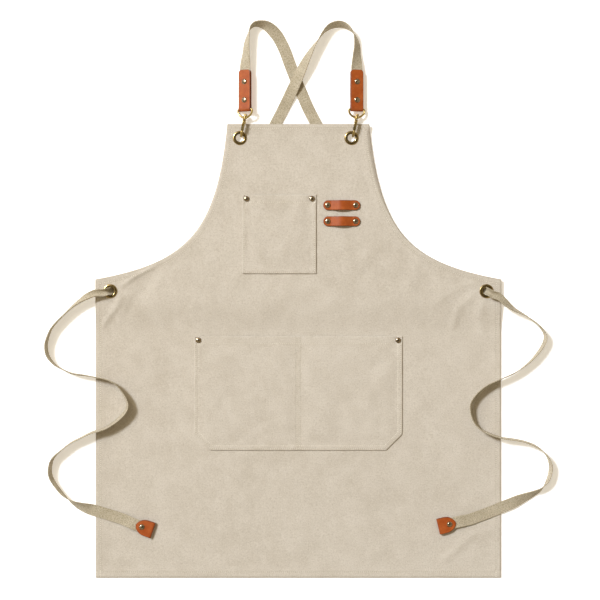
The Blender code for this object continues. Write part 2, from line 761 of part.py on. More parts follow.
def make_hook_body(side, brass):
    """Back, bend and nose in one wire, with the base that holds the post and the gate's pin."""
    bend = hook_bend(side)
    back_start = Vector((0, BASE_BOTTOM + 1.2 * MM, -HOOK_HALF))
    path = [back_start, Vector((0, (BASE_BOTTOM + bend) / 2, -HOOK_HALF))]
    for i in range(11):
        angle = math.radians(-90 - 18 * i)
        path.append(
            Vector((0, bend + HOOK_HALF * math.cos(angle), HOOK_HALF * math.sin(angle)))
        )
    path.append(Vector((0, bend + NOSE_STRAIGHT, HOOK_HALF)))
    body = finish(
        f"hook_body_{side}",
        wire(path, HOOK_WIRE_R, 10, Vector((1, 0, 0)), closed=False),
        brass,
        hook_place(side),
    )
    half = HOOK_BASE_THICKNESS / 2
    outer = HOOK_HALF + HOOK_WIRE_R
    base = [
        (BASE_TOP, -POST_HEAD_R),
        (BASE_TOP, POST_HEAD_R),
        (BASE_TOP - 0.3 * HOOK_BASE_LENGTH, outer - 1.0 * MM),
        (BASE_TOP - 0.55 * HOOK_BASE_LENGTH, outer),
        (BASE_BOTTOM, outer),
        (BASE_BOTTOM, HOOK_GAP / 2 - 0.5 * MM),
        (BASE_BOTTOM + 1.2 * MM, HOOK_GAP / 2 - 1.6 * MM),
        (BASE_BOTTOM + 1.2 * MM, -HOOK_GAP / 2 + 0.6 * MM),
        (BASE_BOTTOM, -HOOK_GAP / 2),
        (BASE_BOTTOM, -outer),
        (BASE_TOP - 0.5 * HOOK_BASE_LENGTH, -outer),
    ]
    boolean(body, slab(base, half), "UNION", "base")
    post = bmesh.new()
    along_y = Matrix.Rotation(math.radians(-90), 4, "X")
    head_start = COLLAR_LENGTH / 2 + CLEARANCE + SWIVEL_PLAY
    post_length = head_start - BASE_TOP + 1.6 * MM
    middle = Matrix.Translation((0, (head_start + BASE_TOP) / 2, 0))
    cylinder(post, POST_R, post_length, middle @ along_y, 12)
    boolean(body, post, "UNION", "post")
    head = bmesh.new()
    place = Matrix.Translation((0, head_start + POST_HEAD_LENGTH / 2, 0))
    cylinder(head, POST_HEAD_R, POST_HEAD_LENGTH, place @ along_y, 14)
    boolean(body, head, "UNION", "head")
    slot_low = HOOK_GAP / 2 - 3.0 * MM
    slot = [
        (BASE_BOTTOM - 2 * MM, slot_low),
        (BASE_BOTTOM - 2 * MM, outer + 2 * MM),
        (GATE_PIN.y + gate_eye_r() + CLEARANCE, outer + 2 * MM),
        (GATE_PIN.y + gate_eye_r() + CLEARANCE, slot_low),
    ]
    boolean(body, slab(slot, GATE_WIDTH / 2 + CLEARANCE), "DIFFERENCE", "slot")
    bore = bmesh.new()
    across = Matrix.Translation(GATE_PIN) @ Matrix.Rotation(math.radians(90), 4, "Y")
    cylinder(bore, GATE_PIN_R + CLEARANCE, 4 * half, across, 12)
    boolean(body, bore, "DIFFERENCE", "pin_bore")
    return body


def gate_eye_r():
    """The radius of the gate's round end, which turns inside the base."""
    return HOOK_WIRE_R


def make_gate(side, brass):
    """The sprung bar that closes the hook, with its thumb lever."""
    tip = hook_bend(side) + NOSE_STRAIGHT + CLEARANCE
    pin_y, pin_z = GATE_PIN.y, GATE_PIN.z
    eye = gate_eye_r()
    half = GATE_HEIGHT / 2
    outline = [(tip, pin_z - half), (tip, pin_z + half)]
    lever_y = BASE_BOTTOM - 2.2 * MM
    outline += [
        (lever_y - 2.4 * MM, pin_z + half),
        (lever_y - 1.2 * MM, pin_z + half + THUMB_LEVER),
        (lever_y, pin_z + half + THUMB_LEVER),
        (lever_y, pin_z + half),
    ]
    for i in range(7):
        angle = math.radians(70 - 140 * i / 6)
        outline.append((pin_y + eye * math.cos(angle), pin_z + eye * math.sin(angle)))
    gate = finish(
        f"hook_gate_{side}", slab(outline, GATE_WIDTH / 2), brass, hook_place(side), sharp=25
    )
    bore = bmesh.new()
    across = Matrix.Translation(GATE_PIN) @ Matrix.Rotation(math.radians(90), 4, "Y")
    cylinder(bore, GATE_PIN_R + CLEARANCE, 3 * GATE_WIDTH, across, 12)
    boolean(gate, bore, "DIFFERENCE", "pin_bore")
    return gate


def make_gate_pin(side, brass):
    pin = bmesh.new()
    across = Matrix.Translation(GATE_PIN) @ Matrix.Rotation(math.radians(90), 4, "Y")
    cylinder(pin, GATE_PIN_R, HOOK_BASE_THICKNESS - 0.4 * MM, across, 12)
    return finish(f"hook_gate_pin_{side}", pin, brass, hook_place(side))


def make_gate_spring(side, steel):
    """A leaf spring under the gate: it stands in the base and bears on the gate from inside."""
    low = HOOK_GAP / 2 - 1.7 * MM + CLEARANCE
    top = GATE_PIN.z - GATE_HEIGHT / 2 - CLEARANCE
    outline = [
        (BASE_BOTTOM + 2.7 * MM, low),
        (BASE_BOTTOM + 2.7 * MM, low + 0.4 * MM),
        (BASE_BOTTOM - 0.5 * MM, low + 0.5 * MM),
        (BASE_BOTTOM - 4.2 * MM, top),
        (BASE_BOTTOM - 4.2 * MM, top - 0.4 * MM),
        (BASE_BOTTOM - 0.5 * MM, low),
    ]
    return finish(
        f"hook_gate_spring_{side}", slab(outline, 0.8 * MM), steel, hook_place(side), sharp=25
    )


def eye_place(side):
    """The eye's frame: origin in the collar, Y along the swivel's axis."""
    at = Matrix.Translation((EYE_X[side], COLLAR_Y, HOOK_Z))
    return at @ Matrix.Rotation(math.radians(CONNECTOR_ROLL[side]), 4, "Y")


def make_hook_eye(side, brass):
    """A D-shaped wire eye whose collar turns on the hook's post."""
    straight = EYE_HALF_WIDTH - EYE_CORNER_R
    down = EYE_HEIGHT - EYE_CORNER_R
    bar_y = EYE_HEIGHT
    path = [Vector((straight * i / 3, bar_y, 0)) for i in (-3, -1, 1, 3)]
    corner_y = bar_y - EYE_CORNER_R
    path += arc(Vector((straight, corner_y, 0)), EYE_CORNER_R, EYE_CORNER_R, 60, 0, 2)
    path += arc(Vector((0, corner_y, 0)), EYE_HALF_WIDTH, down, -12, -168, 13)
    path += arc(Vector((-straight, corner_y, 0)), EYE_CORNER_R, EYE_CORNER_R, 180, 120, 2)
    eye = finish(
        f"hook_eye_{side}",
        wire(path, EYE_WIRE_R, 10, Vector((0, 0, 1)), closed=True),
        brass,
        eye_place(side),
    )
    along_y = Matrix.Rotation(math.radians(-90), 4, "X")
    collar = bmesh.new()
    cylinder(collar, COLLAR_R, COLLAR_LENGTH, along_y, 20)
    boolean(eye, collar, "UNION", "collar")
    bore = bmesh.new()
    cylinder(bore, COLLAR_BORE_R, 2 * COLLAR_LENGTH, along_y, 20)
    boolean(eye, bore, "DIFFERENCE", "bore")
    return eye


# ---- leather connectors and tips ----


def folded_strip(path, half_widths, thickness):
    """A leather strip folded along a path of (y, z) points, its width running along X."""
    rings = []
    for i, (y, z) in enumerate(path):
        before = Vector(path[max(0, i - 1)])
        after = Vector(path[min(len(path) - 1, i + 1)])
        along = (after - before).normalized()
        away = Vector((-along.y, along.x)) * thickness / 2
        wide = half_widths[i]
        rings.append(
            [
                Vector((-wide, y + away.x, z + away.y)),
                Vector((wide, y + away.x, z + away.y)),
                Vector((wide, y - away.x, z - away.y)),
                Vector((-wide, y - away.x, z - away.y)),
            ]
        )
    return skin(rings, closed=False)


def connector_place(side):
    """The connector's frame: origin on the eye's bar, Y towards the strap."""
    return eye_place(side) @ Matrix.Translation((0, EYE_HEIGHT, 0))


def make_connector(side, leather):
    """A leather strip folded round the eye's bar, with the strap's end between its layers."""
    layer = CONNECTOR_LAYER
    round_r = EYE_WIRE_R + CLEARANCE + CONNECTOR_LEATHER / 2
    square = CONNECTOR_LENGTH - CONNECTOR_CORNER
    ends = [
        (square + CONNECTOR_CORNER * math.sin(a), CONNECTOR_CORNER * (1 - math.cos(a)))
        for a in (math.radians(x) for x in (90, 70, 45, 22))
    ]
    flat = [(y, layer) for y, _ in ends] + [(square, layer), (square / 2, layer), (11 * MM, layer)]
    widths = [CONNECTOR_WIDTH / 2 - cut for _, cut in ends] + [CONNECTOR_WIDTH / 2] * 3
    neck = [(6 * MM, (layer + round_r) / 2)]
    turn = [
        (round_r * math.cos(math.radians(a)), round_r * math.sin(math.radians(a)))
        for a in range(80, 281, 20)
    ]
    half = flat + neck
    path = half + turn + [(y, -z) for y, z in half[::-1]]
    half_widths = widths + [CONNECTOR_WIDTH / 2] * (len(turn) + 2) + widths[::-1]
    made = finish(
        f"leather_connector_{side}",
        folded_strip(path, half_widths, CONNECTOR_LEATHER),
        leather,
        connector_place(side),
    )
    drill(made, connector_rivets(), RIVET_SHAFT_R + CLEARANCE)
    return made


def connector_rivets():
    return [Vector((0, y, 0)) for y in CONNECTOR_RIVETS]


def make_strap_end(side, webbing):
    """The first stretch of webbing, riveted inside the connector and moving with it."""
    start = 9 * MM
    end = CONNECTOR_LENGTH + STUB_PAST_LEATHER
    half, thick = WEBBING_WIDTH / 2, WEBBING / 2
    rings = [
        [
            Vector((-half, y, -thick)),
            Vector((half, y, -thick)),
            Vector((half, y, thick)),
            Vector((-half, y, thick)),
        ]
        for y in (start, end)
    ]
    made = finish(
        f"strap_end_{side}", skin(rings, closed=False), webbing, connector_place(side)
    )
    drill(made, connector_rivets(), RIVET_SHAFT_R + CLEARANCE)
    return made


def tip_place(side):
    """The tip's frame: origin in the middle of its folded end, Y back along the strap."""
    (x, y), heading = TIP_PLACE[side]
    grommet = WAIST_GROMMET[side]
    at = Matrix.Translation((grommet.x + x * MM, grommet.y + y * MM, TIP_Z))
    return at @ Matrix.Rotation(math.radians(heading + 90), 4, "Z")


def tip_half_width(y):
    """Half the tip's width at y from its folded end: straight, then rounded to the strap."""
    past = max(0.0, y - TIP_SHARPNESS) / (TIP_LENGTH - TIP_SHARPNESS)
    return max(TIP_WIDTH / 2 * (1 - past**2.2) ** 0.62, 2.0 * MM)


def make_tip(side, leather):
    """A leather end folded over the webbing and held by one rivet."""
    layer = WEBBING / 2 + CLEARANCE + TIP_LEATHER / 2
    steps = [1.0, 0.985, 0.95, 0.9, 0.82, 0.7, 0.52, TIP_SHARPNESS / TIP_LENGTH]
    flat = [(TIP_LENGTH * s, layer) for s in steps]
    turn = [
        (layer + layer * math.cos(math.radians(a)), layer * math.sin(math.radians(a)))
        for a in range(90, 271, 30)
    ]
    path = flat + turn + [(y, -z) for y, z in flat[::-1]]
    widths = [tip_half_width(y) for y, _ in path]
    made = finish(
        f"tie_tip_{side}", folded_strip(path, widths, TIP_LEATHER), leather, tip_place(side)
    )
    rivet_at = [Vector((0, TIP_RIVET_FROM_END, 0))]
    drill(made, rivet_at, RIVET_SHAFT_R + CLEARANCE)
    return made


# ---- the webbing straps ----


def smooth_route(points, spacing):
    """Catmull-Rom points about spacing apart through rows of (x, y, z, roll, width, thick)."""
    found = []
    rows = [points[0], *points, points[-1]]
    for before, here, after, beyond in zip(rows, rows[1:], rows[2:], rows[3:]):
        gap = math.dist(here[:3], after[:3])
        steps = max(1, round(gap / spacing))
        for i in range(steps):
            t = i / steps
            found.append(
                tuple(
                    0.5
                    * (
                        2 * b
                        + (c - a) * t
                        + (2 * a - 5 * b + 4 * c - d) * t * t
                        + (3 * b - a - 3 * c + d) * t**3
                    )
                    for a, b, c, d in zip(before, here, after, beyond)
                )
            )
    return found + [points[-1]]


def ribbon(rows, first_along=None, last_along=None):
    """Webbing along rows of (x, y, z, roll, width, thick), flat where its roll is 0.

    The two ends can be cut square to a given direction, to meet another piece.
    """
    rings = []
    up = Vector((0, 0, 1))
    last = len(rows) - 1
    for i, row in enumerate(rows):
        point = Vector(row[:3])
        along = Vector(rows[min(last, i + 1)][:3]) - Vector(rows[max(0, i - 1)][:3])
        if i == 0 and first_along is not None:
            along = first_along
        if i == last and last_along is not None:
            along = last_along
        along = along.normalized()
        level = up.cross(along).normalized()
        above = along.cross(level)
        roll = math.radians(row[3])
        across = level * math.cos(roll) + above * math.sin(roll)
        through = along.cross(across)
        wide, thick = row[4] / 2, row[5] / 2
        rings.append(
            [
                point - across * wide - through * thick,
                point + across * wide - through * thick,
                point + across * wide + through * thick,
                point - across * wide + through * thick,
            ]
        )
    return skin(rings, closed=False)


def in_metres(points, origin, size=(WEBBING_WIDTH, WEBBING)):
    return [
        (origin.x + x * MM, origin.y + y * MM, z * MM, roll, *size) for x, y, z, roll in points
    ]


def through_grommet(side, arriving, leaving):
    """The webbing bunches, climbs steeply through the bore and spreads out again."""
    centre = WAIST_GROMMET[side]
    crown = BIB_TOP + CLEARANCE + GROMMET_FLANGE_HEIGHT
    foot = BIB_LAYER_BOTTOM - 3 * CLEARANCE - WASHER_THICKNESS - 0.8 * MM
    low = foot - BUNCHED * 0.72
    high = crown + BUNCHED * 0.82
    floor_z = CLEARANCE + WEBBING / 2
    full = (WEBBING_WIDTH, WEBBING)
    gathered = (BUNCHED_WIDTH, BUNCHED)
    between = (0.65 * WEBBING_WIDTH, 1.45 * WEBBING)
    below = [(-34 * MM, floor_z, full), (-24 * MM, floor_z, full)]
    below += [(-14 * MM, CLEARANCE + 0.8 * WEBBING, between), (-5.5 * MM, low, gathered)]
    above = [(5.5 * MM, high, gathered), (13 * MM, high + 0.5 * MM, between)]
    rows = []
    for along, z, size in below:
        rows.append((*(centre.xy + along * arriving), z, 0.0, *size))
    rows.append((*centre.xy, (low + high) / 2, 0.0, *gathered))
    for along, z, size in above:
        rows.append((*(centre.xy + along * leaving), z, 0.0, *size))
    return rows


def strap_rows(side):
    """The whole strap of one connector, and the number of the row in its grommet's middle."""
    other = OPPOSITE[side]
    start = Vector((EYE_X[side], EYE_BAR_Y + CONNECTOR_LENGTH + STUB_PAST_LEATHER + CLEARANCE, 0))
    first = (start.x, start.y, HOOK_Z, CONNECTOR_ROLL[side], WEBBING_WIDTH, WEBBING)
    shoulder = [first] + in_metres(SHOULDER_ROUTE[side], start)
    grommet = WAIST_GROMMET[other]
    tie = in_metres(TIE_ROUTE[other], grommet)
    arriving = (grommet.xy - Vector(shoulder[-1][:2])).normalized()
    leaving = (Vector(tie[0][:2]) - grommet.xy).normalized()
    turn = shoulder[-1][3]
    climb = through_grommet(other, arriving, leaving)
    climb = [(*row[:3], turn + row[3], *row[4:]) for row in climb]
    tie = [(*row[:3], turn + row[3], *row[4:]) for row in tie]
    (x, y), heading = TIP_PLACE[other]
    back = -Vector((math.cos(math.radians(heading)), math.sin(math.radians(heading))))
    straight_end = grommet.xy + Vector((x, y)) * MM
    for inside in (1.2 * TIP_LENGTH, 0.8 * TIP_LENGTH, 4 * MM):
        spot = straight_end + back * inside
        tie.append((*spot, TIP_Z, turn, WEBBING_WIDTH, WEBBING))
    below = smooth_route(shoulder + climb[:5], ROUTE_SPACING)
    above = smooth_route(climb[4:] + tie, ROUTE_SPACING)
    along = (Vector(climb[5][:3]) - Vector(climb[3][:3])).normalized()
    return below, above, along


def make_straps(webbing):
    """Each strap is one piece of webbing, kept as two solids that meet inside the grommet."""
    for side in SIDES:
        other = OPPOSITE[side]
        below, above, along = strap_rows(side)
        below[-1] = (*(Vector(below[-1][:3]) - along * CLEARANCE), *below[-1][3:])
        shoulder = ribbon(below, first_along=Vector((0, 1, 0)), last_along=along)
        finish(f"shoulder_strap_{side}", shoulder, webbing, sharp=60)
        tie = ribbon(above, first_along=along)
        made = finish(f"waist_tie_{other}", tie, webbing, sharp=60)
        rivet_at = [tip_place(other) @ Vector((0, TIP_RIVET_FROM_END, 0))]
        drill(made, rivet_at, RIVET_SHAFT_R + CLEARANCE)


# ---- the whole apron ----


def make_apron():
    clear_scene()
    canvas = new_material("canvas", (0.70, 0.62, 0.49), 0.9)
    webbing = new_material("webbing", (0.62, 0.54, 0.41), 0.85)
    leather = new_material("leather", (0.54, 0.17, 0.04), 0.55)
    brass = new_material("brass", (0.70, 0.50, 0.20), 0.28, 1.0)
    steel = new_material("spring_steel", (0.60, 0.60, 0.60), 0.35, 1.0)

    make_panel(canvas)
    make_pocket(
        "chest_pocket",
        CHEST_POCKET_X,
        CHEST_POCKET_TOP_Y,
        CHEST_POCKET_WIDTH,
        CHEST_POCKET_HEIGHT,
        0.0,
        False,
        chest_rivets(),
        canvas,
    )
    make_pocket(
        "waist_pocket",
        0.0,
        WAIST_POCKET_TOP_Y,
        WAIST_POCKET_WIDTH,
        WAIST_POCKET_HEIGHT,
        WAIST_POCKET_CORNER,
        True,
        waist_rivets(),
        canvas,
    )
    flat_rivets = []
    for pocket, points in (("chest_pocket", chest_rivets()), ("waist_pocket", waist_rivets())):
        for side, point in zip(SIDES, points):
            flat_rivets.append((f"{pocket}_rivet_{side}", point, CANVAS))
    for row, y in zip(("upper", "lower"), LOOP_Y):
        make_brush_loop(f"brush_loop_{row}", y, leather)
        for side, point in zip(SIDES, loop_rivets(y)):
            flat_rivets.append((f"brush_loop_{row}_rivet_{side}", point, LOOP_LEATHER))
    make_flat_rivets(flat_rivets, brass)

    for side in SIDES:
        make_grommet(f"bib_grommet_{side}", BIB_GROMMET[side], brass)
        make_grommet(f"waist_grommet_{side}", WAIST_GROMMET[side], brass)
        make_hook_body(side, brass)
        make_gate(side, brass)
        make_gate_pin(side, brass)
        make_gate_spring(side, steel)
        make_hook_eye(side, brass)
        make_connector(side, leather)
        make_strap_end(side, webbing)
        connector_stack = 2 * CONNECTOR_LAYER + CONNECTOR_LEATHER
        for place, point in zip(("lower", "upper"), connector_rivets()):
            at = connector_place(side) @ Matrix.Translation(point)
            make_rivet(f"connector_rivet_{place}_{side}", connector_stack, at, brass)
        make_tip(side, leather)
        tip_stack = WEBBING + 2 * (CLEARANCE + TIP_LEATHER)
        at = tip_place(side) @ Matrix.Translation((0, TIP_RIVET_FROM_END, 0))
        make_rivet(f"tie_tip_rivet_{side}", tip_stack, at, brass)
    make_straps(webbing)


make_apron()
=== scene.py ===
"""A cross-back canvas apron laid out flat on a pale table, front side up."""

import math

import bmesh
import bpy
import numpy as np
from mathutils import Matrix, Vector


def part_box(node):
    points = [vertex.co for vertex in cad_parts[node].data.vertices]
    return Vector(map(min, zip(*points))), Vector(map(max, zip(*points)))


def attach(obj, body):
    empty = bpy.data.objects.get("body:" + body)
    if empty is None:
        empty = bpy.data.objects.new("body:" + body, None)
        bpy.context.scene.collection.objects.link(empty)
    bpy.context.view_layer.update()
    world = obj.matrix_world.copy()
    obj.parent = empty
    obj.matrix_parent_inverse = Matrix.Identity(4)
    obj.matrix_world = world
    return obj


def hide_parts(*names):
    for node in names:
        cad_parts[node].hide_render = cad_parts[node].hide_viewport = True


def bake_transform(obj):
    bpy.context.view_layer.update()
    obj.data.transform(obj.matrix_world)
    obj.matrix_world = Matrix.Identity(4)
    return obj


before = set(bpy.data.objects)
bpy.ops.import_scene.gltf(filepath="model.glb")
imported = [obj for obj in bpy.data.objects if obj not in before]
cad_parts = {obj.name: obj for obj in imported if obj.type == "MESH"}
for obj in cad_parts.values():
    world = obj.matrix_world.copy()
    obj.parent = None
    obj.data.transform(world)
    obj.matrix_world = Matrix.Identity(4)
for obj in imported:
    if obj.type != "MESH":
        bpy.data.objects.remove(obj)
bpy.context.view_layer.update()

# The setting: a pale table top under a soft white sky, one broad light high on the upper left,
# and a camera that looks straight down from just over two metres.

scene = bpy.context.scene
scene.view_settings.view_transform = "Standard"

camera_data = bpy.data.cameras.new("camera")
camera_data.lens = 85
camera_data.sensor_width = 36
camera_data.clip_start = 0.05


def stand(name, data, at=(0, 0, 0)):
    """A new object in the scene."""
    made = bpy.data.objects.new(name, data)
    made.location = at
    scene.collection.objects.link(made)
    return made


scene.camera = stand("camera", camera_data, (0.0028, -0.0004, 2.45))

window_data = bpy.data.lights.new("window", "SUN")
window_data.energy = 2.99
window_data.angle = 0.17
window_data.color = (0.80, 0.87, 1.0)
window = stand("window", window_data)
window.rotation_euler = Vector((0.62, -0.46, -0.92)).to_track_quat("-Z", "Y").to_euler()

softbox_data = bpy.data.lights.new("softbox", "AREA")
softbox_data.energy = 16.0
softbox_data.size = 1.2
softbox_data.color = (1.0, 0.91, 0.77)
softbox = stand("softbox", softbox_data, (-1.3, 1.0, 1.9))
softbox.rotation_euler = (-softbox.location).to_track_quat("-Z", "Y").to_euler()


def add_node(tree, kind, inputs=None, **settings):
    """A node with its settings made, and each input linked to a socket or set to a value."""
    made = tree.nodes.new(kind)
    for name, value in settings.items():
        setattr(made, name, value)
    for name, value in (inputs or {}).items():
        if isinstance(value, bpy.types.NodeSocket):
            tree.links.new(value, made.inputs[name])
        else:
            made.inputs[name].default_value = value
    return made


sky = bpy.data.worlds.new("sky")
sky.use_nodes = True
scene.world = sky
sky_tree = sky.node_tree
sky_place = add_node(sky_tree, "ShaderNodeTexCoord")
sky_height = add_node(sky_tree, "ShaderNodeSeparateXYZ", {0: sky_place.outputs["Generated"]})
sky_colour = add_node(sky_tree, "ShaderNodeValToRGB", {0: sky_height.outputs["Z"]})
WARM_SKY = (1.0, 0.85, 0.60, 1)
bands = sky_colour.color_ramp.elements
bands[0].color = (0.30, 0.29, 0.27, 1)
bands[1].position, bands[1].color = 0.55, WARM_SKY
# Straight overhead, the dark rig round the camera is what flat metal mirrors.
for height, colour in ((0.93, WARM_SKY), (0.962, (0.05, 0.045, 0.04, 1))):
    bands.new(height).color = colour
sky_tree.links.new(sky_colour.outputs[0], sky_tree.nodes["Background"].inputs["Color"])
sky_tree.nodes["Background"].inputs["Strength"].default_value = 0.47



def new_material(name, **values):
    """A material with some of its shader's inputs set; underscores stand for their spaces."""
    material = bpy.data.materials.new(name)
    material.use_nodes = True
    shader = material.node_tree.nodes["Principled BSDF"]
    for title, value in values.items():
        shader.inputs[title.replace("_", " ")].default_value = value
    return material, material.node_tree, shader


TABLE_HALF = 4.0
TABLE_Z = -0.0004
table_mesh = bpy.data.meshes.new("table")
table_corners = [(-1, -1), (1, -1), (1, 1), (-1, 1)]
table_mesh.from_pydata(
    [(x * TABLE_HALF, y * TABLE_HALF, TABLE_Z) for x, y in table_corners], [], [(0, 1, 2, 3)]
)
table_paint, _, _ = new_material(
    "table paint",
    Base_Color=(0.96, 0.955, 0.945, 1),
    Roughness=0.9,
    Specular_IOR_Level=0.1,
    Emission_Color=(1.0, 0.95, 0.87, 1),
    Emission_Strength=0.36,
)
table_mesh.materials.append(table_paint)
stand("table", table_mesh)


# The canvas panel: one piece of unbleached cotton canvas. Its edge is turned under twice and
# sewn down, so a doubled band runs all round it and the middle lies a little lower.

MM = 0.001
CLEARANCE = 0.3 * MM
CANVAS = 0.9 * MM
HEM = 7.0 * MM
HEM_STITCH = {"bib": 7.5 * MM, "side": 8.5 * MM, "skirt": 10.0 * MM, "armhole": 8.5 * MM}
PANEL_LOW, PANEL_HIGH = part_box("apron_panel")
PANEL_HALF = PANEL_HIGH.x
WAIST_Y = 35.2 * MM
BIB_HALF = 122.5 * MM
PANEL_THICKNESS = 2.7 * MM
BIB_LIFT = PANEL_HIGH.z - PANEL_THICKNESS
RAMP = (-60 * MM, 0.0)
GROMMET_HOLE = 8.0 * MM


def smooth(value):
    value = np.clip(value, 0.0, 1.0)
    return value * value * (3 - 2 * value)


def middle(node):
    """The middle of a CAD node's box."""
    low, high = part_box(node)
    return (low + high) / 2


SIDES = ("left", "right")
GROMMETS = [middle(f"{row}_grommet_{side}_eyelet") for row in ("bib", "waist") for side in SIDES]


def lift(y):
    """How far the hem lies above the table: the bib lies on its straps and hooks."""
    return BIB_LIFT * smooth((y - RAMP[0]) / (RAMP[1] - RAMP[0]))


def armhole_curve(steps):
    """The right armhole's edge, from the waist corner to the bib's top corner."""
    t = np.linspace(0, 1, steps)[:, None]
    ends = np.array(
        [
            (PANEL_HALF, WAIST_Y),
            (PANEL_HALF - 160 * MM, WAIST_Y + 28.5 * MM),
            (BIB_HALF + 18.5 * MM, PANEL_HIGH.y - 186 * MM),
            (BIB_HALF, PANEL_HIGH.y),
        ]
    )
    weights = np.hstack([(1 - t) ** 3, 3 * t * (1 - t) ** 2, 3 * t * t * (1 - t), t**3])
    return weights @ ends


ARMHOLE = armhole_curve(120)


def half_width(y):
    """Half the panel's width at y."""
    return np.where(y <= WAIST_Y, PANEL_HALF, np.interp(y, ARMHOLE[:, 1], ARMHOLE[:, 0]))


def panel_outline():
    """The panel's edge, anticlockwise from the skirt's left corner."""
    corners = [(-PANEL_HALF, PANEL_LOW.y), (PANEL_HALF, PANEL_LOW.y)]
    left = ARMHOLE[::-1] * (-1, 1)
    return np.vstack([corners, ARMHOLE, left])


def from_line(x, y, line, closed=False):
    """The distance from each (x, y) to a line of points."""
    ends = np.vstack([line[1:], line[:1]]) if closed else line[1:]
    starts = line if closed else line[:-1]
    nearest = np.full(np.shape(x), 1e9)
    for (ax, ay), (bx, by) in zip(starts, ends):
        run = max((bx - ax) ** 2 + (by - ay) ** 2, 1e-14)
        t = np.clip(((x - ax) * (bx - ax) + (y - ay) * (by - ay)) / run, 0, 1)
        gap = np.hypot(x - ax - t * (bx - ax), y - ay - t * (by - ay))
        nearest = np.minimum(nearest, gap)
    return nearest


# Where the cloth has been folded, pulled or leant on: a line, its height and its half width.
FOLDS = [
    ([(-252, 57), (-279, 42), (-303, 25)], 2.3, 4.6),
    ([(-303, 6), (-314, -12), (-334, -40)], 2.5, 4.8),
    ([(-290, 16), (-296, -10), (-316, -50)], 0.9, 5.5),
    ([(-240, 58), (-262, 22), (-300, -22)], -1.1, 12.0),
    ([(306, 27), (277, 22), (248, 2)], 1.5, 9.0),
    ([(301, 8), (276, -14), (268, -44)], 1.7, 8.0),
    ([(318, -8), (312, -30), (320, -62)], 1.2, 8.0),
    ([(262, 36), (243, 12), (236, -20)], 0.9, 11.0),
    ([(330, -72), (305, -96), (300, -118)], 0.7, 9.0),
    ([(303, -404), (280, -424), (254, -448)], 1.5, 7.0),
    ([(322, -402), (309, -430), (301, -452)], 0.8, 9.0),
    ([(-84, 262), (-66, 240), (-58, 214)], 0.8, 10.0),
    ([(80, 262), (96, 240), (104, 212)], 0.8, 10.0),
    ([(-182, 118), (-150, 96), (-118, 64)], 0.8, 12.0),
    ([(150, 104), (118, 76), (96, 40)], 0.8, 13.0),
    ([(205, 70), (190, 20), (196, -30)], 0.9, 14.0),
    ([(-205, 66), (-176, 20), (-180, -40)], 0.8, 14.0),
    ([(40, -300), (52, -360), (50, -430)], -0.9, 16.0),
    ([(-30, -290), (-44, -350), (-40, -420)], -0.7, 18.0),
    ([(-218, -90), (-226, -180), (-212, -260)], -0.7, 16.0),
    ([(216, -100), (228, -190), (220, -270)], -0.7, 16.0),
    ([(-130, -300), (-150, -370), (-142, -440)], -0.6, 15.0),
    ([(150, -300), (162, -360), (150, -420)], -0.6, 15.0),
]
# Fine crumples: direction in degrees, crest to crest in millimetres, height and a phase.
CRUMPLES = [
    (12, 47, 0.16, 0.3),
    (71, 61, 0.17, 1.7),
    (128, 39, 0.13, 2.9),
    (163, 83, 0.20, 4.4),
    (38, 29, 0.09, 5.1),
    (97, 23, 0.07, 0.9),
]


def crumple(x, y):
    """Small uneven waves in cloth that has been folded and shaken out."""
    total = np.zeros(np.shape(x))
    for turn, crest, height, phase in CRUMPLES:
        along = x * math.cos(math.radians(turn)) + y * math.sin(math.radians(turn))
        across = -x * math.sin(math.radians(turn)) + y * math.cos(math.radians(turn))
        bend = 0.35 * crest * MM * np.sin(across / (0.9 * crest * MM) + 2.1 * phase)
        patch = 0.5 + 0.5 * np.sin(across / (1.7 * crest * MM) + phase * 3)
        total += height * MM * patch * np.sin(math.tau * (along + bend) / (crest * MM) + phase)
    return total


def canvas_top(x, y):
    """The height of the panel's front."""
    x = np.asarray(x, float)
    y = np.asarray(y, float)
    edge = from_line(x, y, OUTLINE, closed=True)
    held = np.ones(x.shape)
    for grommet in GROMMETS:
        gap = np.hypot(x - grommet.x, y - grommet.y)
        held *= smooth((gap - 13.5 * MM) / (9 * MM))
    loose = smooth((edge - 6.5 * MM) / (16 * MM)) * held
    z = lift(y) + PANEL_THICKNESS - 0.55 * MM * loose
    z += (crumple(x, y) - 0.35 * MM) * loose
    on_skirt = 1 - smooth((y - RAMP[0]) / (RAMP[1] - RAMP[0]))
    for line, height, reach in FOLDS:
        gap = from_line(x, y, np.array(line) * MM)
        shape = np.exp(-((gap / (reach * MM)) ** 2) * 1.6)
        most = np.where(height > 1, 1.0, 1 - 0.35 * on_skirt)
        z += height * MM * shape * most * held * smooth((edge - 1.5 * MM) / (9 * MM))
    # The hem's outer edge is rounded, and droops where the bib hangs over the straps.
    z -= 0.7 * MM * np.clip(1 - edge / (1.6 * MM), 0, 1) ** 2
    beside_bib = smooth((y - 60 * MM) / (70 * MM)) * (1 - smooth((y - 285 * MM) / (14 * MM)))
    droop = np.where(x > 0, 5.4, 1.6) * MM * beside_bib
    turned = np.where(x > 0, 2.2 + 4.6 * smooth((y - 110 * MM) / (150 * MM)), 2.6) * MM
    z -= droop * np.clip(1 - edge / turned, 0, 1) ** 1.2 * (np.abs(x) > 60 * MM)
    pucker = np.sin(math.tau * (x + 0.7 * y) / (13 * MM)) * np.sin(math.tau * (y - x) / (31 * MM))
    z += 0.16 * MM * pucker * np.exp(-(((edge - 8 * MM) / (5 * MM)) ** 2)) * held
    return z


def marks(edges, fine, most):
    """Positions through each edge distance, no more than a step apart."""
    found = [edges[0]]
    for low, high in zip(edges, edges[1:]):
        steps = max(1, math.ceil((high - low) / most - 1e-6))
        found += [low + (high - low) * i / steps for i in range(1, steps + 1)]
    return np.array(found) * fine


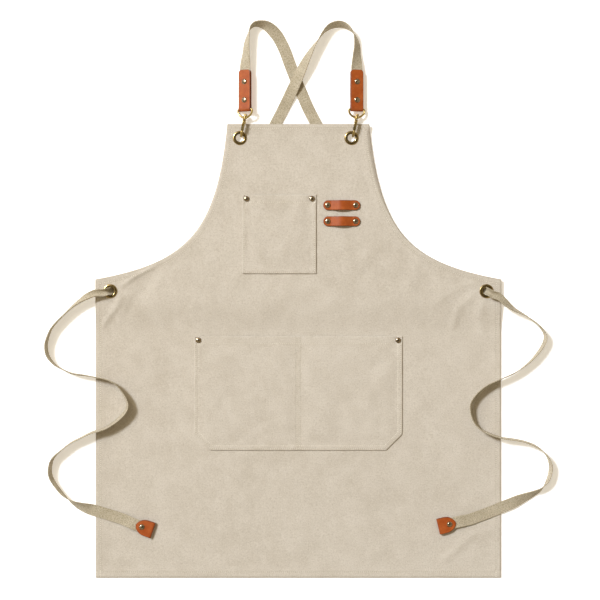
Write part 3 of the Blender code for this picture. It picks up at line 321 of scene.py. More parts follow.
def new_mesh(name, points, faces, material, uv=None):
    """A smooth mesh object at the origin whose faces point outwards."""
    mesh = bpy.data.meshes.new(name)
    mesh.from_pydata([tuple(p) for p in points], [], faces)
    if uv is not None:
        layer = mesh.uv_layers.new(name="weave")
        loops = np.zeros(len(mesh.loops), int)
        mesh.loops.foreach_get("vertex_index", loops)
        layer.data.foreach_set("uv", np.asarray(uv, np.float32)[loops].ravel())
    cleaner = bmesh.new()
    cleaner.from_mesh(mesh)
    bmesh.ops.recalc_face_normals(cleaner, faces=cleaner.faces)
    cleaner.to_mesh(mesh)
    cleaner.free()
    mesh.shade_smooth()
    mesh.materials.append(material)
    return stand(name, mesh)


def settle(made):
    """Turns an object's modifiers into its plain mesh."""
    bpy.context.view_layer.update()
    graph = bpy.context.evaluated_depsgraph_get()
    plain = bpy.data.meshes.new_from_object(made.evaluated_get(graph))
    made.modifiers.clear()
    made.data = plain
    return made


def boolean(made, operation, tool):
    """Joins another solid to this one, or takes it away."""
    step = made.modifiers.new(operation, "BOOLEAN")
    step.operation, step.solver, step.object = operation, "EXACT", tool


def declare(made, nodes, body):
    """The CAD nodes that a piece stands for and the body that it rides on."""
    if nodes:
        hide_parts(*nodes)
    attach(made, body)
    return made


def point_values(made, name, values):
    """Keeps one number for each point of a mesh, for its material to read."""
    attribute = made.data.attributes.new(name, "FLOAT", "POINT")
    attribute.data.foreach_set("value", np.asarray(values, np.float32))


def sheet_faces(rows, columns):
    """Faces of a cloth with a front and a back grid, closed round the edge."""
    count = rows * columns
    faces = []
    for r in range(rows - 1):
        for c in range(columns - 1):
            a = r * columns + c
            faces.append((a, a + 1, a + columns + 1, a + columns))
            b = a + count
            faces.append((b, b + columns, b + columns + 1, b + 1))
    rim = [(0, c) for c in range(columns)] + [(r, columns - 1) for r in range(1, rows)]
    rim += [(rows - 1, c) for c in range(columns - 2, -1, -1)]
    rim += [(r, 0) for r in range(rows - 2, 0, -1)]
    for (r, c), (s, d) in zip(rim, rim[1:] + rim[:1]):
        a, b = r * columns + c, s * columns + d
        faces.append((b, a, a + count, b + count))
    return faces


def noise(tree, place, scale, detail, roughness=0.5):
    inputs = {"Vector": place, "Scale": scale, "Detail": detail, "Roughness": roughness}
    return add_node(tree, "ShaderNodeTexNoise", inputs).outputs["Fac"]


def weave_group():
    """Threads going over and under each other, with thicker and thinner stretches of yarn."""
    group = bpy.data.node_groups.new("plain weave", "ShaderNodeTree")
    sockets = group.interface
    sockets.new_socket("Place", in_out="INPUT", socket_type="NodeSocketVector")
    sockets.new_socket("Threads per metre", in_out="INPUT", socket_type="NodeSocketVector")
    sockets.new_socket("Thread", in_out="OUTPUT", socket_type="NodeSocketFloat")
    sockets.new_socket("Slub", in_out="OUTPUT", socket_type="NodeSocketFloat")
    given = add_node(group, "NodeGroupInput")
    scaled = add_node(
        group,
        "ShaderNodeVectorMath",
        {0: given.outputs["Place"], 1: given.outputs["Threads per metre"]},
        operation="MULTIPLY",
    )
    place = scaled.outputs[0]
    ridges = [
        add_node(
            group,
            "ShaderNodeTexWave",
            {"Vector": place, "Scale": math.pi / 10, "Distortion": 0.0},
            bands_direction=direction,
        ).outputs["Fac"]
        for direction in ("X", "Y")
    ]
    checks = add_node(group, "ShaderNodeTexChecker", {"Vector": place, "Scale": 1.0})
    over = add_node(
        group,
        "ShaderNodeMix",
        {0: checks.outputs["Fac"], 2: ridges[0], 3: ridges[1]},
        data_type="FLOAT",
    )
    yarn = []
    for stretch in ((0.05, 1.0, 0.0), (1.0, 0.05, 0.0)):
        drawn = add_node(
            group, "ShaderNodeVectorMath", {0: place, 1: stretch}, operation="MULTIPLY"
        )
        yarn.append(noise(group, drawn.outputs[0], 0.55, 3.0, 0.6))
    slub = add_node(group, "ShaderNodeMix", {0: 0.5, 2: yarn[0], 3: yarn[1]}, data_type="FLOAT")
    result = add_node(group, "NodeGroupOutput")
    group.links.new(over.outputs[0], result.inputs["Thread"])
    group.links.new(slub.outputs[0], result.inputs["Slub"])
    return group


WEAVE = weave_group()


def math_node(tree, operation, first, second, third=0.0):
    inputs = {0: first, 1: second, 2: third}
    return add_node(tree, "ShaderNodeMath", inputs, operation=operation).outputs[0]


def mix_colour(tree, factor, first, second):
    inputs = {0: factor, 6: first, 7: second}
    return add_node(tree, "ShaderNodeMix", inputs, data_type="RGBA").outputs[2]


def map_range(tree, value, low, high, to_low=0.0, to_high=1.0):
    made = add_node(
        tree, "ShaderNodeMapRange", {0: value, 1: low, 2: high, 3: to_low, 4: to_high}
    )
    made.interpolation_type = "SMOOTHSTEP"
    return made.outputs[0]


def own_place(tree):
    return add_node(tree, "ShaderNodeTexCoord").outputs["Object"]


def point_value(tree, name):
    return add_node(tree, "ShaderNodeAttribute", attribute_name=name).outputs["Fac"]


def raise_surface(tree, shader, height, distance, strength):
    """Small relief that is finer than the mesh."""
    inputs = {"Height": height, "Distance": distance, "Strength": strength}
    bump = add_node(tree, "ShaderNodeBump", inputs)
    tree.links.new(bump.outputs[0], shader.inputs["Normal"])


def woven(tree, place, threads):
    """The weave at a place: its thread and its slub."""
    weave = add_node(tree, "ShaderNodeGroup", node_tree=WEAVE)
    tree.links.new(place, weave.inputs["Place"])
    weave.inputs["Threads per metre"].default_value = threads
    return weave.outputs["Thread"], weave.outputs["Slub"]


def stain(tree, shader, tone, layers):
    """A base colour with others laid over it in turn, each as far as its factor says."""
    for factor, colour in layers:
        tone = mix_colour(tree, factor, tone, colour)
    tree.links.new(tone, shader.inputs["Base Color"])


def canvas_material():
    """Unbleached cotton canvas, paler where it is worn; painted shade in its weave's hollows and
    sewn groove.
    """
    material, tree, shader = new_material(
        "unbleached canvas", Sheen_Weight=0.18, Sheen_Roughness=0.5, Specular_IOR_Level=0.2
    )
    place = own_place(tree)
    thread, slub = woven(tree, place, (1350, 1350, 0))
    clouds = noise(tree, place, 28.0, 5.0, 0.62)
    broad = noise(tree, place, 5.0, 3.0)
    lint = noise(tree, place, 430.0, 3.0, 0.75)
    sewn = point_value(tree, "seam")
    layers = [
        (map_range(tree, clouds, 0.32, 0.68), (0.735, 0.662, 0.552, 1)),
        (map_range(tree, broad, 0.35, 0.65, 0.0, 0.35), (0.755, 0.684, 0.575, 1)),
        (map_range(tree, slub, 0.35, 0.68, 0.0, 0.20), (0.535, 0.462, 0.355, 1)),
        (map_range(tree, lint, 0.50, 0.70, 0.0, 0.60), (0.500, 0.425, 0.320, 1)),
        (map_range(tree, lint, 0.30, 0.49, 0.58, 0.0), (0.850, 0.780, 0.670, 1)),
        # Painted shade: darker in the weave's hollows between the threads.
        (map_range(tree, thread, 0.0, 0.55, 0.26, 0.0), (0.450, 0.380, 0.280, 1)),
        # Painted shade from the seam attribute: the sewn grooves, and the hem darker towards its
        # rolled edge.
        (math_node(tree, "MULTIPLY", sewn, 0.42), (0.400, 0.335, 0.235, 1)),
    ]
    stain(tree, shader, (0.655, 0.583, 0.475, 1), layers)
    height = math_node(tree, "MULTIPLY", thread, 0.22)
    for part, share in ((slub, 0.35), (lint, -0.45), (clouds, 0.8), (broad, 1.4), (sewn, -0.45)):
        height = math_node(tree, "MULTIPLY_ADD", part, share, height)
    raise_surface(tree, shader, height, 0.001, 0.8)
    tree.links.new(map_range(tree, slub, 0.3, 0.7, 0.82, 0.95), shader.inputs["Roughness"])
    return material


CANVAS_CLOTH = canvas_material()
OUTLINE = panel_outline()


def hem_shade_mask(x, y):
    """How dark the hem is painted, from 0 to 1: shade in its sewn groove, and darker towards its
    rolled edge.
    """
    edge = from_line(x, y, OUTLINE, closed=True)
    reach = np.where(y > PANEL_HIGH.y - 12 * MM, HEM_STITCH["bib"], HEM_STITCH["armhole"])
    reach = np.where(y < PANEL_LOW.y + 14 * MM, HEM_STITCH["skirt"], reach)
    groove = np.exp(-(((edge - reach) / (1.1 * MM)) ** 2))
    return np.maximum(groove, smooth(1 - edge / (3.4 * MM)))


def make_panel():
    """The panel as a closed sheet: fine rows near its edges, coarser in the middle."""
    border = [0, 0.5, 1.1, 1.8, 3.2, 5.0, 6.8, 7.6, 8.5, 9.4, 10.4, 12, 15, 19]
    across = marks(border + [110, 350], MM, 4.6)
    shares = across / across[-1]
    shares = np.concatenate([shares / 2, 1 - shares[-2::-1] / 2])
    top = PANEL_HIGH.y
    up = marks(border, MM, 4.6)
    armhole_rows = np.concatenate(
        [
            WAIST_Y + np.array([-14, -10, -7, -4, -2, -1, 0, 0.6, 1.4, 2.4, 3.6, 5, 6.6]) * MM,
            WAIST_Y + np.arange(8.4, 40, 2.2) * MM,
            np.arange(WAIST_Y + 41 * MM, top - 20 * MM, 4.4 * MM),
        ]
    )
    skirt_rows = np.arange(PANEL_LOW.y + 22 * MM, WAIST_Y - 17 * MM, 4.5 * MM)
    ys = np.concatenate([PANEL_LOW.y + up, skirt_rows, armhole_rows, top - up[::-1]])
    ys = np.unique(np.round(ys, 6))
    half = half_width(ys)[:, None]
    # The border columns keep their real distance from the edge on every row.
    side = np.minimum(across[None, :], half * shares[None, : len(across)] * 2)
    blend = smooth((across[None, :] - 19 * MM) / (100 * MM))
    inside = side * (1 - blend) + blend * across[None, :] / across[-1] * half
    xs = np.hstack([inside - half, (half - inside)[:, -2::-1]])
    grid_y = np.repeat(ys[:, None], xs.shape[1], axis=1)
    x, y = xs.ravel(), grid_y.ravel()
    z = canvas_top(x, y)
    edge = from_line(x, y, OUTLINE, closed=True)
    thick = CANVAS + (PANEL_THICKNESS - CANVAS) * (1 - smooth((edge - HEM) / (1.2 * MM)))
    thick = np.minimum(thick, np.maximum(z - 0.1 * MM, 0.3 * MM))
    thick *= 0.45 + 0.55 * smooth(edge / (1.8 * MM))
    front = np.column_stack([x, y, z])
    back = np.column_stack([x, y, z - thick])
    faces = sheet_faces(len(ys), xs.shape[1])
    made = new_mesh("canvas_panel", np.vstack([front, back]), faces, CANVAS_CLOTH)
    # The seam attribute: painted shade in the sewn groove, and darker towards the hem's rolled
    # edge.
    point_values(made, "seam", np.tile(hem_shade_mask(x, y), 2))
    return made


def cut_holes(made, centres, radius):
    """Punches round holes through cloth for its grommets."""
    punch = bmesh.new()
    for centre in centres:
        bmesh.ops.create_cone(
            punch,
            cap_ends=True,
            segments=40,
            radius1=radius,
            radius2=radius,
            depth=0.08,
            matrix=Matrix.Translation((centre.x, centre.y, 0)),
        )
    mesh = bpy.data.meshes.new("punch")
    punch.to_mesh(mesh)
    punch.free()
    tool = stand("punch", mesh)
    boolean(made, "DIFFERENCE", tool)
    settle(made)
    bpy.data.objects.remove(tool)


panel = make_panel()
cut_holes(panel, GROMMETS, GROMMET_HOLE)
declare(panel, ["apron_panel"], "apron")


# Sewing thread: a slightly paler cotton twist in straight lockstitch. Each visible stitch is a
# short rounded bar that dips into the cloth at both ends.

STITCH_LENGTH = 2.5 * MM
STITCH_SPACING = 3.4 * MM
STITCH_THICK = 0.95 * MM
STITCH_ABOVE = 0.12 * MM


def thread_material():
    """Cotton thread, paler and darker along its length, with its twist."""
    material, tree, shader = new_material("sewing thread", Roughness=0.7, Sheen_Weight=0.2)
    place = own_place(tree)
    shade = map_range(tree, noise(tree, place, 320.0, 2.0), 0.35, 0.65)
    stain(tree, shader, (0.760, 0.690, 0.560, 1), [(shade, (0.930, 0.870, 0.750, 1))])
    twist = add_node(
        tree,
        "ShaderNodeTexWave",
        {"Vector": place, "Scale": 260.0, "Distortion": 1.0},
        bands_direction="DIAGONAL",
    ).outputs["Fac"]
    raise_surface(tree, shader, twist, 0.0001, 0.6)
    return material


THREAD = thread_material()


def stitch_form():
    """One stitch: five rings of six points along X, its ends bent down into the cloth."""
    places = [(-0.5, 0.45, -0.62), (-0.3, 0.95, -0.05), (0, 1, 0.12), (0.3, 0.95, -0.05)]
    places.append((0.5, 0.45, -0.62))
    points = []
    for along, size, rise in places:
        for k in range(6):
            angle = math.tau * k / 6
            points.append(
                (
                    along * STITCH_LENGTH,
                    size * STITCH_THICK / 2 * math.cos(angle),
                    (size * math.sin(angle) / 2 + rise) * STITCH_THICK,
                )
            )
    faces = [
        (r * 6 + k, r * 6 + (k + 1) % 6, (r + 1) * 6 + (k + 1) % 6, (r + 1) * 6 + k)
        for r in range(4)
        for k in range(6)
    ]
    faces += [tuple(range(6)), tuple(range(24, 30))]
    return new_mesh("one_stitch", points, faces, THREAD)


def geometry_tree(name, inputs):
    """An empty Geometry Nodes tree with the inputs named, and their sockets' identifiers."""
    tree = bpy.data.node_groups.new(name, "GeometryNodeTree")
    tree.interface.new_socket("Geometry", in_out="INPUT", socket_type="NodeSocketGeometry")
    identifiers = {}
    for title, kind in inputs:
        socket = tree.interface.new_socket(title, in_out="INPUT", socket_type=kind)
        identifiers[title] = socket.identifier
    tree.interface.new_socket("Geometry", in_out="OUTPUT", socket_type="NodeSocketGeometry")
    return tree, add_node(tree, "NodeGroupInput"), identifiers


def copies(tree, points, pattern, turn, material):
    """Ends a tree with a pattern object on every point, as real smooth geometry."""
    source = add_node(tree, "GeometryNodeObjectInfo", {0: pattern})
    inputs = {"Points": points, "Instance": source.outputs["Geometry"], "Rotation": turn}
    placed = add_node(tree, "GeometryNodeInstanceOnPoints", inputs)
    real = add_node(tree, "GeometryNodeRealizeInstances", {0: placed.outputs[0]})
    soft = add_node(tree, "GeometryNodeSetShadeSmooth", {"Geometry": real.outputs[0]})
    painted = add_node(
        tree, "GeometryNodeSetMaterial", {"Geometry": soft.outputs[0], "Material": material}
    )
    result = add_node(tree, "NodeGroupOutput")
    tree.links.new(painted.outputs[0], result.inputs[0])


def stitch_tree():
    """Stitches laid at an even spacing along every line of the mesh."""
    inputs = [
        ("Spacing", "NodeSocketFloat"),
        ("Stitch", "NodeSocketObject"),
        ("Thread", "NodeSocketMaterial"),
    ]
    tree, given, identifiers = geometry_tree("stitched line", inputs)
    line = add_node(tree, "GeometryNodeMeshToCurve", {0: given.outputs["Geometry"]})
    even = add_node(
        tree,
        "GeometryNodeResampleCurve",
        {"Curve": line.outputs[0], "Length": given.outputs["Spacing"]},
        mode="LENGTH",
    )
    tangent = add_node(tree, "GeometryNodeInputTangent")
    turn = add_node(
        tree,
        "FunctionNodeAxesToRotation",
        {0: tangent.outputs[0], 1: (0, 0, 1)},
        primary_axis="X",
        secondary_axis="Z",
    )
    stitch, thread = given.outputs["Stitch"], given.outputs["Thread"]
    copies(tree, even.outputs[0], stitch, turn.outputs[0], thread)
    return tree, identifiers


STITCH_TREE, STITCH_INPUTS = stitch_tree()
ONE_STITCH = stitch_form()


def grown(name, points, edges, tree, identifiers, values):
    """The plain mesh that a Geometry Nodes tree grows from points and edges."""
    mesh = bpy.data.meshes.new(name)
    mesh.from_pydata([tuple(p) for p in points], edges, [])
    made = stand(name, mesh)
    modifier = made.modifiers.new("grow", "NODES")
    modifier.node_group = tree
    for title, value in values.items():
        modifier[identifiers[title]] = value
    return settle(made)


def sew(name, lines):
    """Stitches along lines of points, as one piece."""
    points, edges = [], []
    for line in lines:
        first = len(points)
        points += [tuple(p) for p in line]
        edges += [(first + i, first + i + 1) for i in range(len(line) - 1)]
    values = {"Spacing": STITCH_SPACING, "Stitch": ONE_STITCH, "Thread": THREAD}
    made = grown(name, points, edges, STITCH_TREE, STITCH_INPUTS, values)
    return declare(made, [], "apron")


def on_canvas(line, height=canvas_top):
    """A flat line of points, resampled finely and laid on the cloth."""
    line = np.array(line, float)
    runs = np.hypot(*np.diff(line, axis=0).T)
    far = np.concatenate([[0], np.cumsum(runs)])
    steps = np.linspace(0, far[-1], max(2, int(far[-1] / (3 * MM))))
    x = np.interp(steps, far, line[:, 0])
    y = np.interp(steps, far, line[:, 1])
    return np.column_stack([x, y, height(x, y) + STITCH_ABOVE])


def moved_in(line, distance):
    """A line moved sideways by distance, to the left of its direction."""
    line = np.array(line, float)
    along = np.gradient(line, axis=0)
    along /= np.hypot(*along.T)[:, None]
    return line + np.column_stack([-along[:, 1], along[:, 0]]) * distance


side_in = HEM_STITCH["side"]
armhole_in = moved_in(ARMHOLE, HEM_STITCH["armhole"])
bib_line_y = PANEL_HIGH.y - HEM_STITCH["bib"]
below_bib = armhole_in[:, 1] < bib_line_y
armhole_in = armhole_in[below_bib & (armhole_in[:, 0] < PANEL_HALF - side_in)]
hem_line_y = PANEL_LOW.y + HEM_STITCH["skirt"]
hem_lines = [
    [(-PANEL_HALF + 2 * MM, hem_line_y), (PANEL_HALF - 2 * MM, hem_line_y)],
    [(PANEL_HALF - side_in, PANEL_LOW.y + 2 * MM), (PANEL_HALF - side_in, WAIST_Y - 7 * MM)],
    [(side_in - PANEL_HALF, PANEL_LOW.y + 2 * MM), (side_in - PANEL_HALF, WAIST_Y - 7 * MM)],
    armhole_in,
    armhole_in * (-1, 1),
    [(3 * MM - BIB_HALF, bib_line_y), (BIB_HALF - 3 * MM, bib_line_y)],
]
ONE_STITCH.hide_render = True
hem_stitches = sew("hem_stitches", [on_canvas(line) for line in hem_lines])


# The pockets: patches of the same canvas, their raw edges pressed under and sewn to the panel
# on three sides. The top edge is a wide turned hem. The waist pocket's seam makes two bays.

SEAM = 6.0 * MM
POCKET_DEPTH = 6.0 * MM
POCKET_RISE = 22.0 * MM
POCKET_HEM = 13.0 * MM
EDGE_STITCH = 2.6 * MM
MIDDLE_ROWS = (-2.6 * MM, 2.6 * MM)
RIVET_INSET = 7.0 * MM


def pocket_shape(node, corner, split):
    """A pocket's sizes from its CAD solid."""
    low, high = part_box(node)
    sizes = {"low": low, "high": high, "corner": corner, "split": split}
    return {**sizes, "middle": (low.x + high.x) / 2}


CHEST = pocket_shape("chest_pocket", 0.0, False)
WAIST = pocket_shape("waist_pocket", 28.0 * MM, True)


def pocket_edge(shape, x, y):
    """How far each point lies inside the pocket's three sewn edges."""
    side = np.minimum(x - shape["low"].x, shape["high"].x - x)
    up = y - shape["low"].y
    found = np.minimum(side, up)
    if shape["corner"]:
        found = np.minimum(found, (side + up - shape["corner"]) / math.sqrt(2))
    return up, found


def pocket_rivets(shape):
    y = shape["high"].y - RIVET_INSET
    return [(shape["low"].x + RIVET_INSET, y), (shape["high"].x - RIVET_INSET, y)]


def pocket_top(shape):
    """The height of the pocket's front, as a function of the place."""

    def height(x, y):
        up, edge = pocket_edge(shape, x, y)
        full = smooth((edge - SEAM) / POCKET_RISE) * smooth((up - SEAM) / POCKET_RISE)
        if shape["split"]:
            beside = np.abs(x - shape["middle"]) - 3 * MM
            full = full * smooth(beside / (POCKET_RISE - 3 * MM))
        near = np.full(np.shape(x), 1e9)
        for rx, ry in pocket_rivets(shape):
            near = np.minimum(near, np.hypot(x - rx, y - ry))
        full = full * smooth((near - 5.7 * MM) / POCKET_RISE)
        # Worn cloth slumps: the bays are fullest low down, and sag between the rivets.
        slump = 0.42 + 0.30 * np.sin((x + 0.02) * 31) * np.sin(y * 24 + 1) ** 2
        sag = 1 - 0.55 * smooth(1 - (shape["high"].y - y) / (60 * MM))
        z = canvas_top(x, y) + CLEARANCE + CANVAS
        z = z + (POCKET_DEPTH - 1.2 * MM) * full * slump * sag * 0.4
        z = z + 1.35 * crumple(x * 1.3 + 0.4, y * 1.3) * smooth((edge - 2 * MM) / (14 * MM))
        hem = smooth((shape["high"].y - y) / (1.1 * MM))
        band = 1 - smooth((shape["high"].y - y - POCKET_HEM + 1.0 * MM) / (3.0 * MM))
        z = z + 0.28 * MM * hem * band * smooth((near - 4.8 * MM) / (3 * MM))
        # Its edges are turned under twice, so the whole patch stands off by their thickness.
        turned = 1 - 0.22 * smooth((edge - 4.6 * MM) / (1.8 * MM))
        z = z + 1.15 * MM * turned * smooth((near - 5.3 * MM) / (4 * MM))
        rim = np.minimum(edge, shape["high"].y - y)
        z = z - 0.55 * MM * np.clip(1 - rim / (1.3 * MM), 0, 1) ** 2
        wave = np.sin(math.tau * (x + y) / (9.5 * MM)) * 0.10 * MM
        return z + wave * np.exp(-(((edge - EDGE_STITCH) / (3 * MM)) ** 2))

    return height


def make_pocket(name, shape):
    """A closed cloth patch: its front, its edges and a flat inside face."""
    low, high = shape["low"], shape["high"]
    border = [0, 0.5, 1.1, 1.9, 2.6, 3.4, 4.6, 6, 7.5, 9.5, 12]
    width, height = high.x - low.x, high.y - low.y
    half = marks(border + [width / 2 / MM], MM, 3.0)
    xs = np.concatenate([half, width - half[-2::-1]])
    hem = [0, 0.5, 1.1, 2, 3.5, 6, 9, 11.5, 12.5, 13.2, 14.4, 16]
    lower = marks(border + [height / MM - 17], MM, 3.0)[:-1]
    ups = np.concatenate([lower, height - marks(hem, MM, 3.0)[::-1]])
    trimmed = np.clip(shape["corner"] - ups, 0, None)[:, None]
    share = xs[None, :] / width
    x = low.x + trimmed + share * (width - 2 * trimmed)
    y = np.repeat(low.y + ups[:, None], len(xs), axis=1)
    x, y = x.ravel(), y.ravel()
    z = pocket_top(shape)(x, y)
    _, edge = pocket_edge(shape, x, y)
    rim = np.minimum(edge, high.y - y)
    thick = CANVAS * (0.4 + 0.6 * smooth(rim / (1.4 * MM)))
    under = np.maximum(z - thick, canvas_top(x, y) + 0.05 * MM)
    closed = 1 - smooth((edge - 4.6 * MM) / (1.8 * MM))
    under = under * (1 - closed) + (canvas_top(x, y) + 0.05 * MM) * closed
    points = np.vstack([np.column_stack([x, y, z]), np.column_stack([x, y, under])])
    made = new_mesh(name, points, sheet_faces(len(ups), len(xs)), CANVAS_CLOTH)
    # The seam attribute: painted shade along the stitched grooves, the hem line and the middle
    # seam.
    groove = np.exp(-(((edge - EDGE_STITCH) / (0.9 * MM)) ** 2))
    hem_gap = high.y - y - POCKET_HEM
    groove = np.maximum(groove, 0.4 * np.exp(-((hem_gap / (0.9 * MM)) ** 2)))
    for offset in MIDDLE_ROWS if shape["split"] else ():
        gap = x - shape["middle"] - offset
        groove = np.maximum(groove, np.exp(-((gap / (0.9 * MM)) ** 2)))
    point_values(made, "seam", np.tile(groove, 2))
    return declare(made, [name.replace("_patch", "")], "apron")


def pocket_stitches(name, shape):
    """Rows just inside the sewn edges, along the hem and down the middle seam."""
    low, high, cut = shape["low"], shape["high"], shape["corner"]
    height = pocket_top(shape)
    lines = []
    for inside in (EDGE_STITCH, EDGE_STITCH + 5.2 * MM) if shape["split"] else (EDGE_STITCH,):
        left, right, bottom = low.x + inside, high.x - inside, low.y + inside
        trim = max(cut - inside * (2 - math.sqrt(2)), 0)
        line = [(left, high.y - 1 * MM), (left, bottom + trim), (left + trim, bottom)]
        line += [(right - trim, bottom), (right, bottom + trim), (right, high.y - 1 * MM)]
        lines.append([p for i, p in enumerate(line) if i == 0 or p != line[i - 1]])
    hem_y = high.y - POCKET_HEM
    lines.append([(low.x + 2 * MM, hem_y), (high.x - 2 * MM, hem_y)])
    for offset in MIDDLE_ROWS if shape["split"] else ():
        x = shape["middle"] + offset
        lines.append([(x, high.y - 1.5 * MM), (x, low.y + 2 * MM)])
    return sew(name, [on_canvas(line, height) for line in lines])


chest_patch = make_pocket("chest_pocket_patch", CHEST)
waist_patch = make_pocket("waist_pocket_patch", WAIST)
chest_stitches = pocket_stitches("chest_pocket_stitches", CHEST)
waist_stitches = pocket_stitches("waist_pocket_stitches", WAIST)


# The leather: vegetable-tanned cowhide, dyed tan. Every strip is die cut, its edges are
# burnished dark, and it is folded or bent to shape. First the two brush loops on the bib.

LEATHER = 1.8 * MM
LOOP_HALF = 31.75 * MM
LOOP_RISE = 5.2 * MM
LOOP_SEAT = 19.2 * MM


def leather_material():
    """Tan dyed cowhide: fine pebble grain, mottled dye, dark burnished edges."""
    material, tree, shader = new_material(
        "tan leather", Specular_IOR_Level=0.28, Coat_Weight=0.05, Coat_Roughness=0.3
    )
    place = own_place(tree)
    grain = add_node(
        tree, "ShaderNodeTexVoronoi", {"Vector": place, "Scale": 1150.0}
    ).outputs["Distance"]
    fine = noise(tree, place, 420.0, 5.0)
    cloud = noise(tree, place, 85.0, 4.0, 0.6)
    burnish = point_value(tree, "burnish")
    layers = [
        (map_range(tree, cloud, 0.3, 0.7), (0.450, 0.104, 0.016, 1)),
        (map_range(tree, fine, 0.35, 0.7, 0.25, 0.0), (0.250, 0.042, 0.006, 1)),
        (math_node(tree, "MULTIPLY", burnish, 0.78), (0.120, 0.034, 0.012, 1)),
    ]
    stain(tree, shader, (0.350, 0.070, 0.009, 1), layers)
    height = math_node(tree, "MULTIPLY_ADD", fine, 0.6, grain)
    raise_surface(tree, shader, height, 0.00012, 0.5)
    tree.links.new(map_range(tree, cloud, 0.3, 0.7, 0.38, 0.52), shader.inputs["Roughness"])
    return material


TAN_LEATHER = leather_material()


def strip_section(half, thick):
    """A cut strip's cross-section with rounded edges, and how near each point is to an edge."""
    points, rims = [], []
    soft = min(0.45 * thick, half)
    for sign, turn in ((1, -1), (1, 1), (-1, 1), (-1, -1)):
        for k in range(3):
            angle = math.pi / 2 * (k / 2)
            if sign * turn < 0:
                angle = math.pi / 2 - angle
            across = sign * (half - soft + soft * math.cos(angle))
            through = turn * (thick / 2 - soft + soft * math.sin(angle))
            points.append((across, through))
            rims.append(0.55 + 0.45 * math.cos(angle))
        if turn == 1 and sign == 1 or turn == -1 and sign == -1:
            inner = sign * max(half - 1.5 * MM, 0.3 * half)
            points += [(inner, turn * thick / 2), (-inner, turn * thick / 2)]
            rims += [0.0, 0.0]
    return points, rims


def leather_strip(name, stations, place=None):
    """A strip through stations of (centre, across, half width, thickness, end shade)."""
    points, burnish, faces = [], [], []
    for i, (centre, across, half, thick, shade) in enumerate(stations):
        before, after = stations[max(0, i - 1)][0], stations[min(len(stations) - 1, i + 1)][0]
        along = (Vector(after) - Vector(before)).normalized()
        across = Vector(across)
        through = along.cross(across).normalized()
        section, rims = strip_section(half, thick)
        for (a, b), rim in zip(section, rims):
            points.append(Vector(centre) + across * a + through * b)
            burnish.append(max(rim, shade))
    count = len(section)
    for r in range(len(stations) - 1):
        for k in range(count):
            a, b = r * count + k, r * count + (k + 1) % count
            faces.append((a, b, b + count, a + count))
    faces += [tuple(range(count)), tuple(range(len(points) - count, len(points)))]
    if place is not None:
        points = [place @ p for p in points]
    made = new_mesh(name, points, faces, TAN_LEATHER)
    point_values(made, "burnish", burnish)
    return made


def brush_loop(name):
    """A stadium-shaped strip that lies flat under its rivets and bows up between them."""
    centre = middle(name)
    seat_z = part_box(name)[0].z
    radius = (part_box(name)[1].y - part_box(name)[0].y) / 2
    angles = np.linspace(0.06, math.pi / 2, 12)
    ends = LOOP_HALF - radius + radius * np.cos(angles)
    half = np.concatenate([np.linspace(0, LOOP_HALF - radius, 26)[:-1], ends[::-1]])
    xs = np.concatenate([-half[:0:-1], half])
    stations = []
    for x in xs:
        over = max(0.0, abs(x) - (LOOP_HALF - radius))
        wide = math.sqrt(max(radius**2 - over**2, 1e-8))
        up = LOOP_RISE * math.cos(min(abs(x) / LOOP_SEAT, 1) * math.pi / 2) ** 1.5
        z = seat_z + LEATHER / 2 + up
        shade = float(smooth(1 - (radius - over) / (1.6 * MM))) if over else 0.0
        thick = LEATHER * (0.55 + 0.45 * float(smooth((radius - over) / (1.1 * MM))))
        stations.append(((centre.x + x, centre.y, z), (0, 1, 0), wide, thick, shade))
    declare(leather_strip(f"{name}_strip", stations), [name], "apron")


for loop_name in ("brush_loop_upper", "brush_loop_lower"):
    brush_loop(loop_name)


# The metal: solid brass, polished and then left to age. Double-cap rivets come first: a domed
# cap on the front, a post through the layers and a flatter cap pressed on behind.

CAP_RADIUS = 4.8 * MM
CAP_HEIGHT = 1.9 * MM
BACK_HEIGHT = 1.2 * MM
RIVET_POST = 1.35 * MM
STOUT_POST = 1.5 * MM  # through leather and webbing


def brass_material(name, bright, dark, roughness):
    """Aged brass: bright on high spots, darker where handling has not polished it; painted shade in
    recesses.
    """
    material, tree, shader = new_material(name, Metallic=1.0)
    place = own_place(tree)
    cloud = noise(tree, place, 260.0, 5.0, 0.65)
    fine = noise(tree, place, 2200.0, 3.0)
    # Painted shade: where a piece marks a recess, its colour goes to the deep colour.
    recess_shade = point_value(tree, "recess_shade")
    deep = tuple(0.4 * part for part in dark[:3]) + (1,)
    stain(tree, shader, bright, [(map_range(tree, cloud, 0.42, 0.72), dark), (recess_shade, deep)])
    shine = map_range(tree, cloud, 0.35, 0.75, roughness, roughness + 0.16)
    tree.links.new(shine, shader.inputs["Roughness"])
    raise_surface(tree, shader, fine, 0.00003, 0.35)
    return material


BRASS = brass_material("aged brass", (0.50, 0.37, 0.16, 1), (0.20, 0.14, 0.06, 1), 0.16)
DARK_BRASS = brass_material("antique brass", (0.44, 0.35, 0.24, 1), (0.17, 0.13, 0.08, 1), 0.17)


def turned(profile, segments, closed):
    """Points and faces of a form turned about Z from (radius, height) points."""
    points, faces = [], []
    count = len(profile)
    for k in range(segments):
        angle = math.tau * k / segments
        points += [(r * math.cos(angle), r * math.sin(angle), z) for r, z in profile]
    for k in range(segments):
        a, b = k * count, (k + 1) % segments * count
        for j in range(count if closed else count - 1):
            i = (j + 1) % count
            faces.append((a + j, b + j, b + i, a + i))
    if not closed:
        faces.append(tuple(k * count for k in range(segments)))
        faces.append(tuple(k * count + count - 1 for k in range(segments)))
    return points, faces


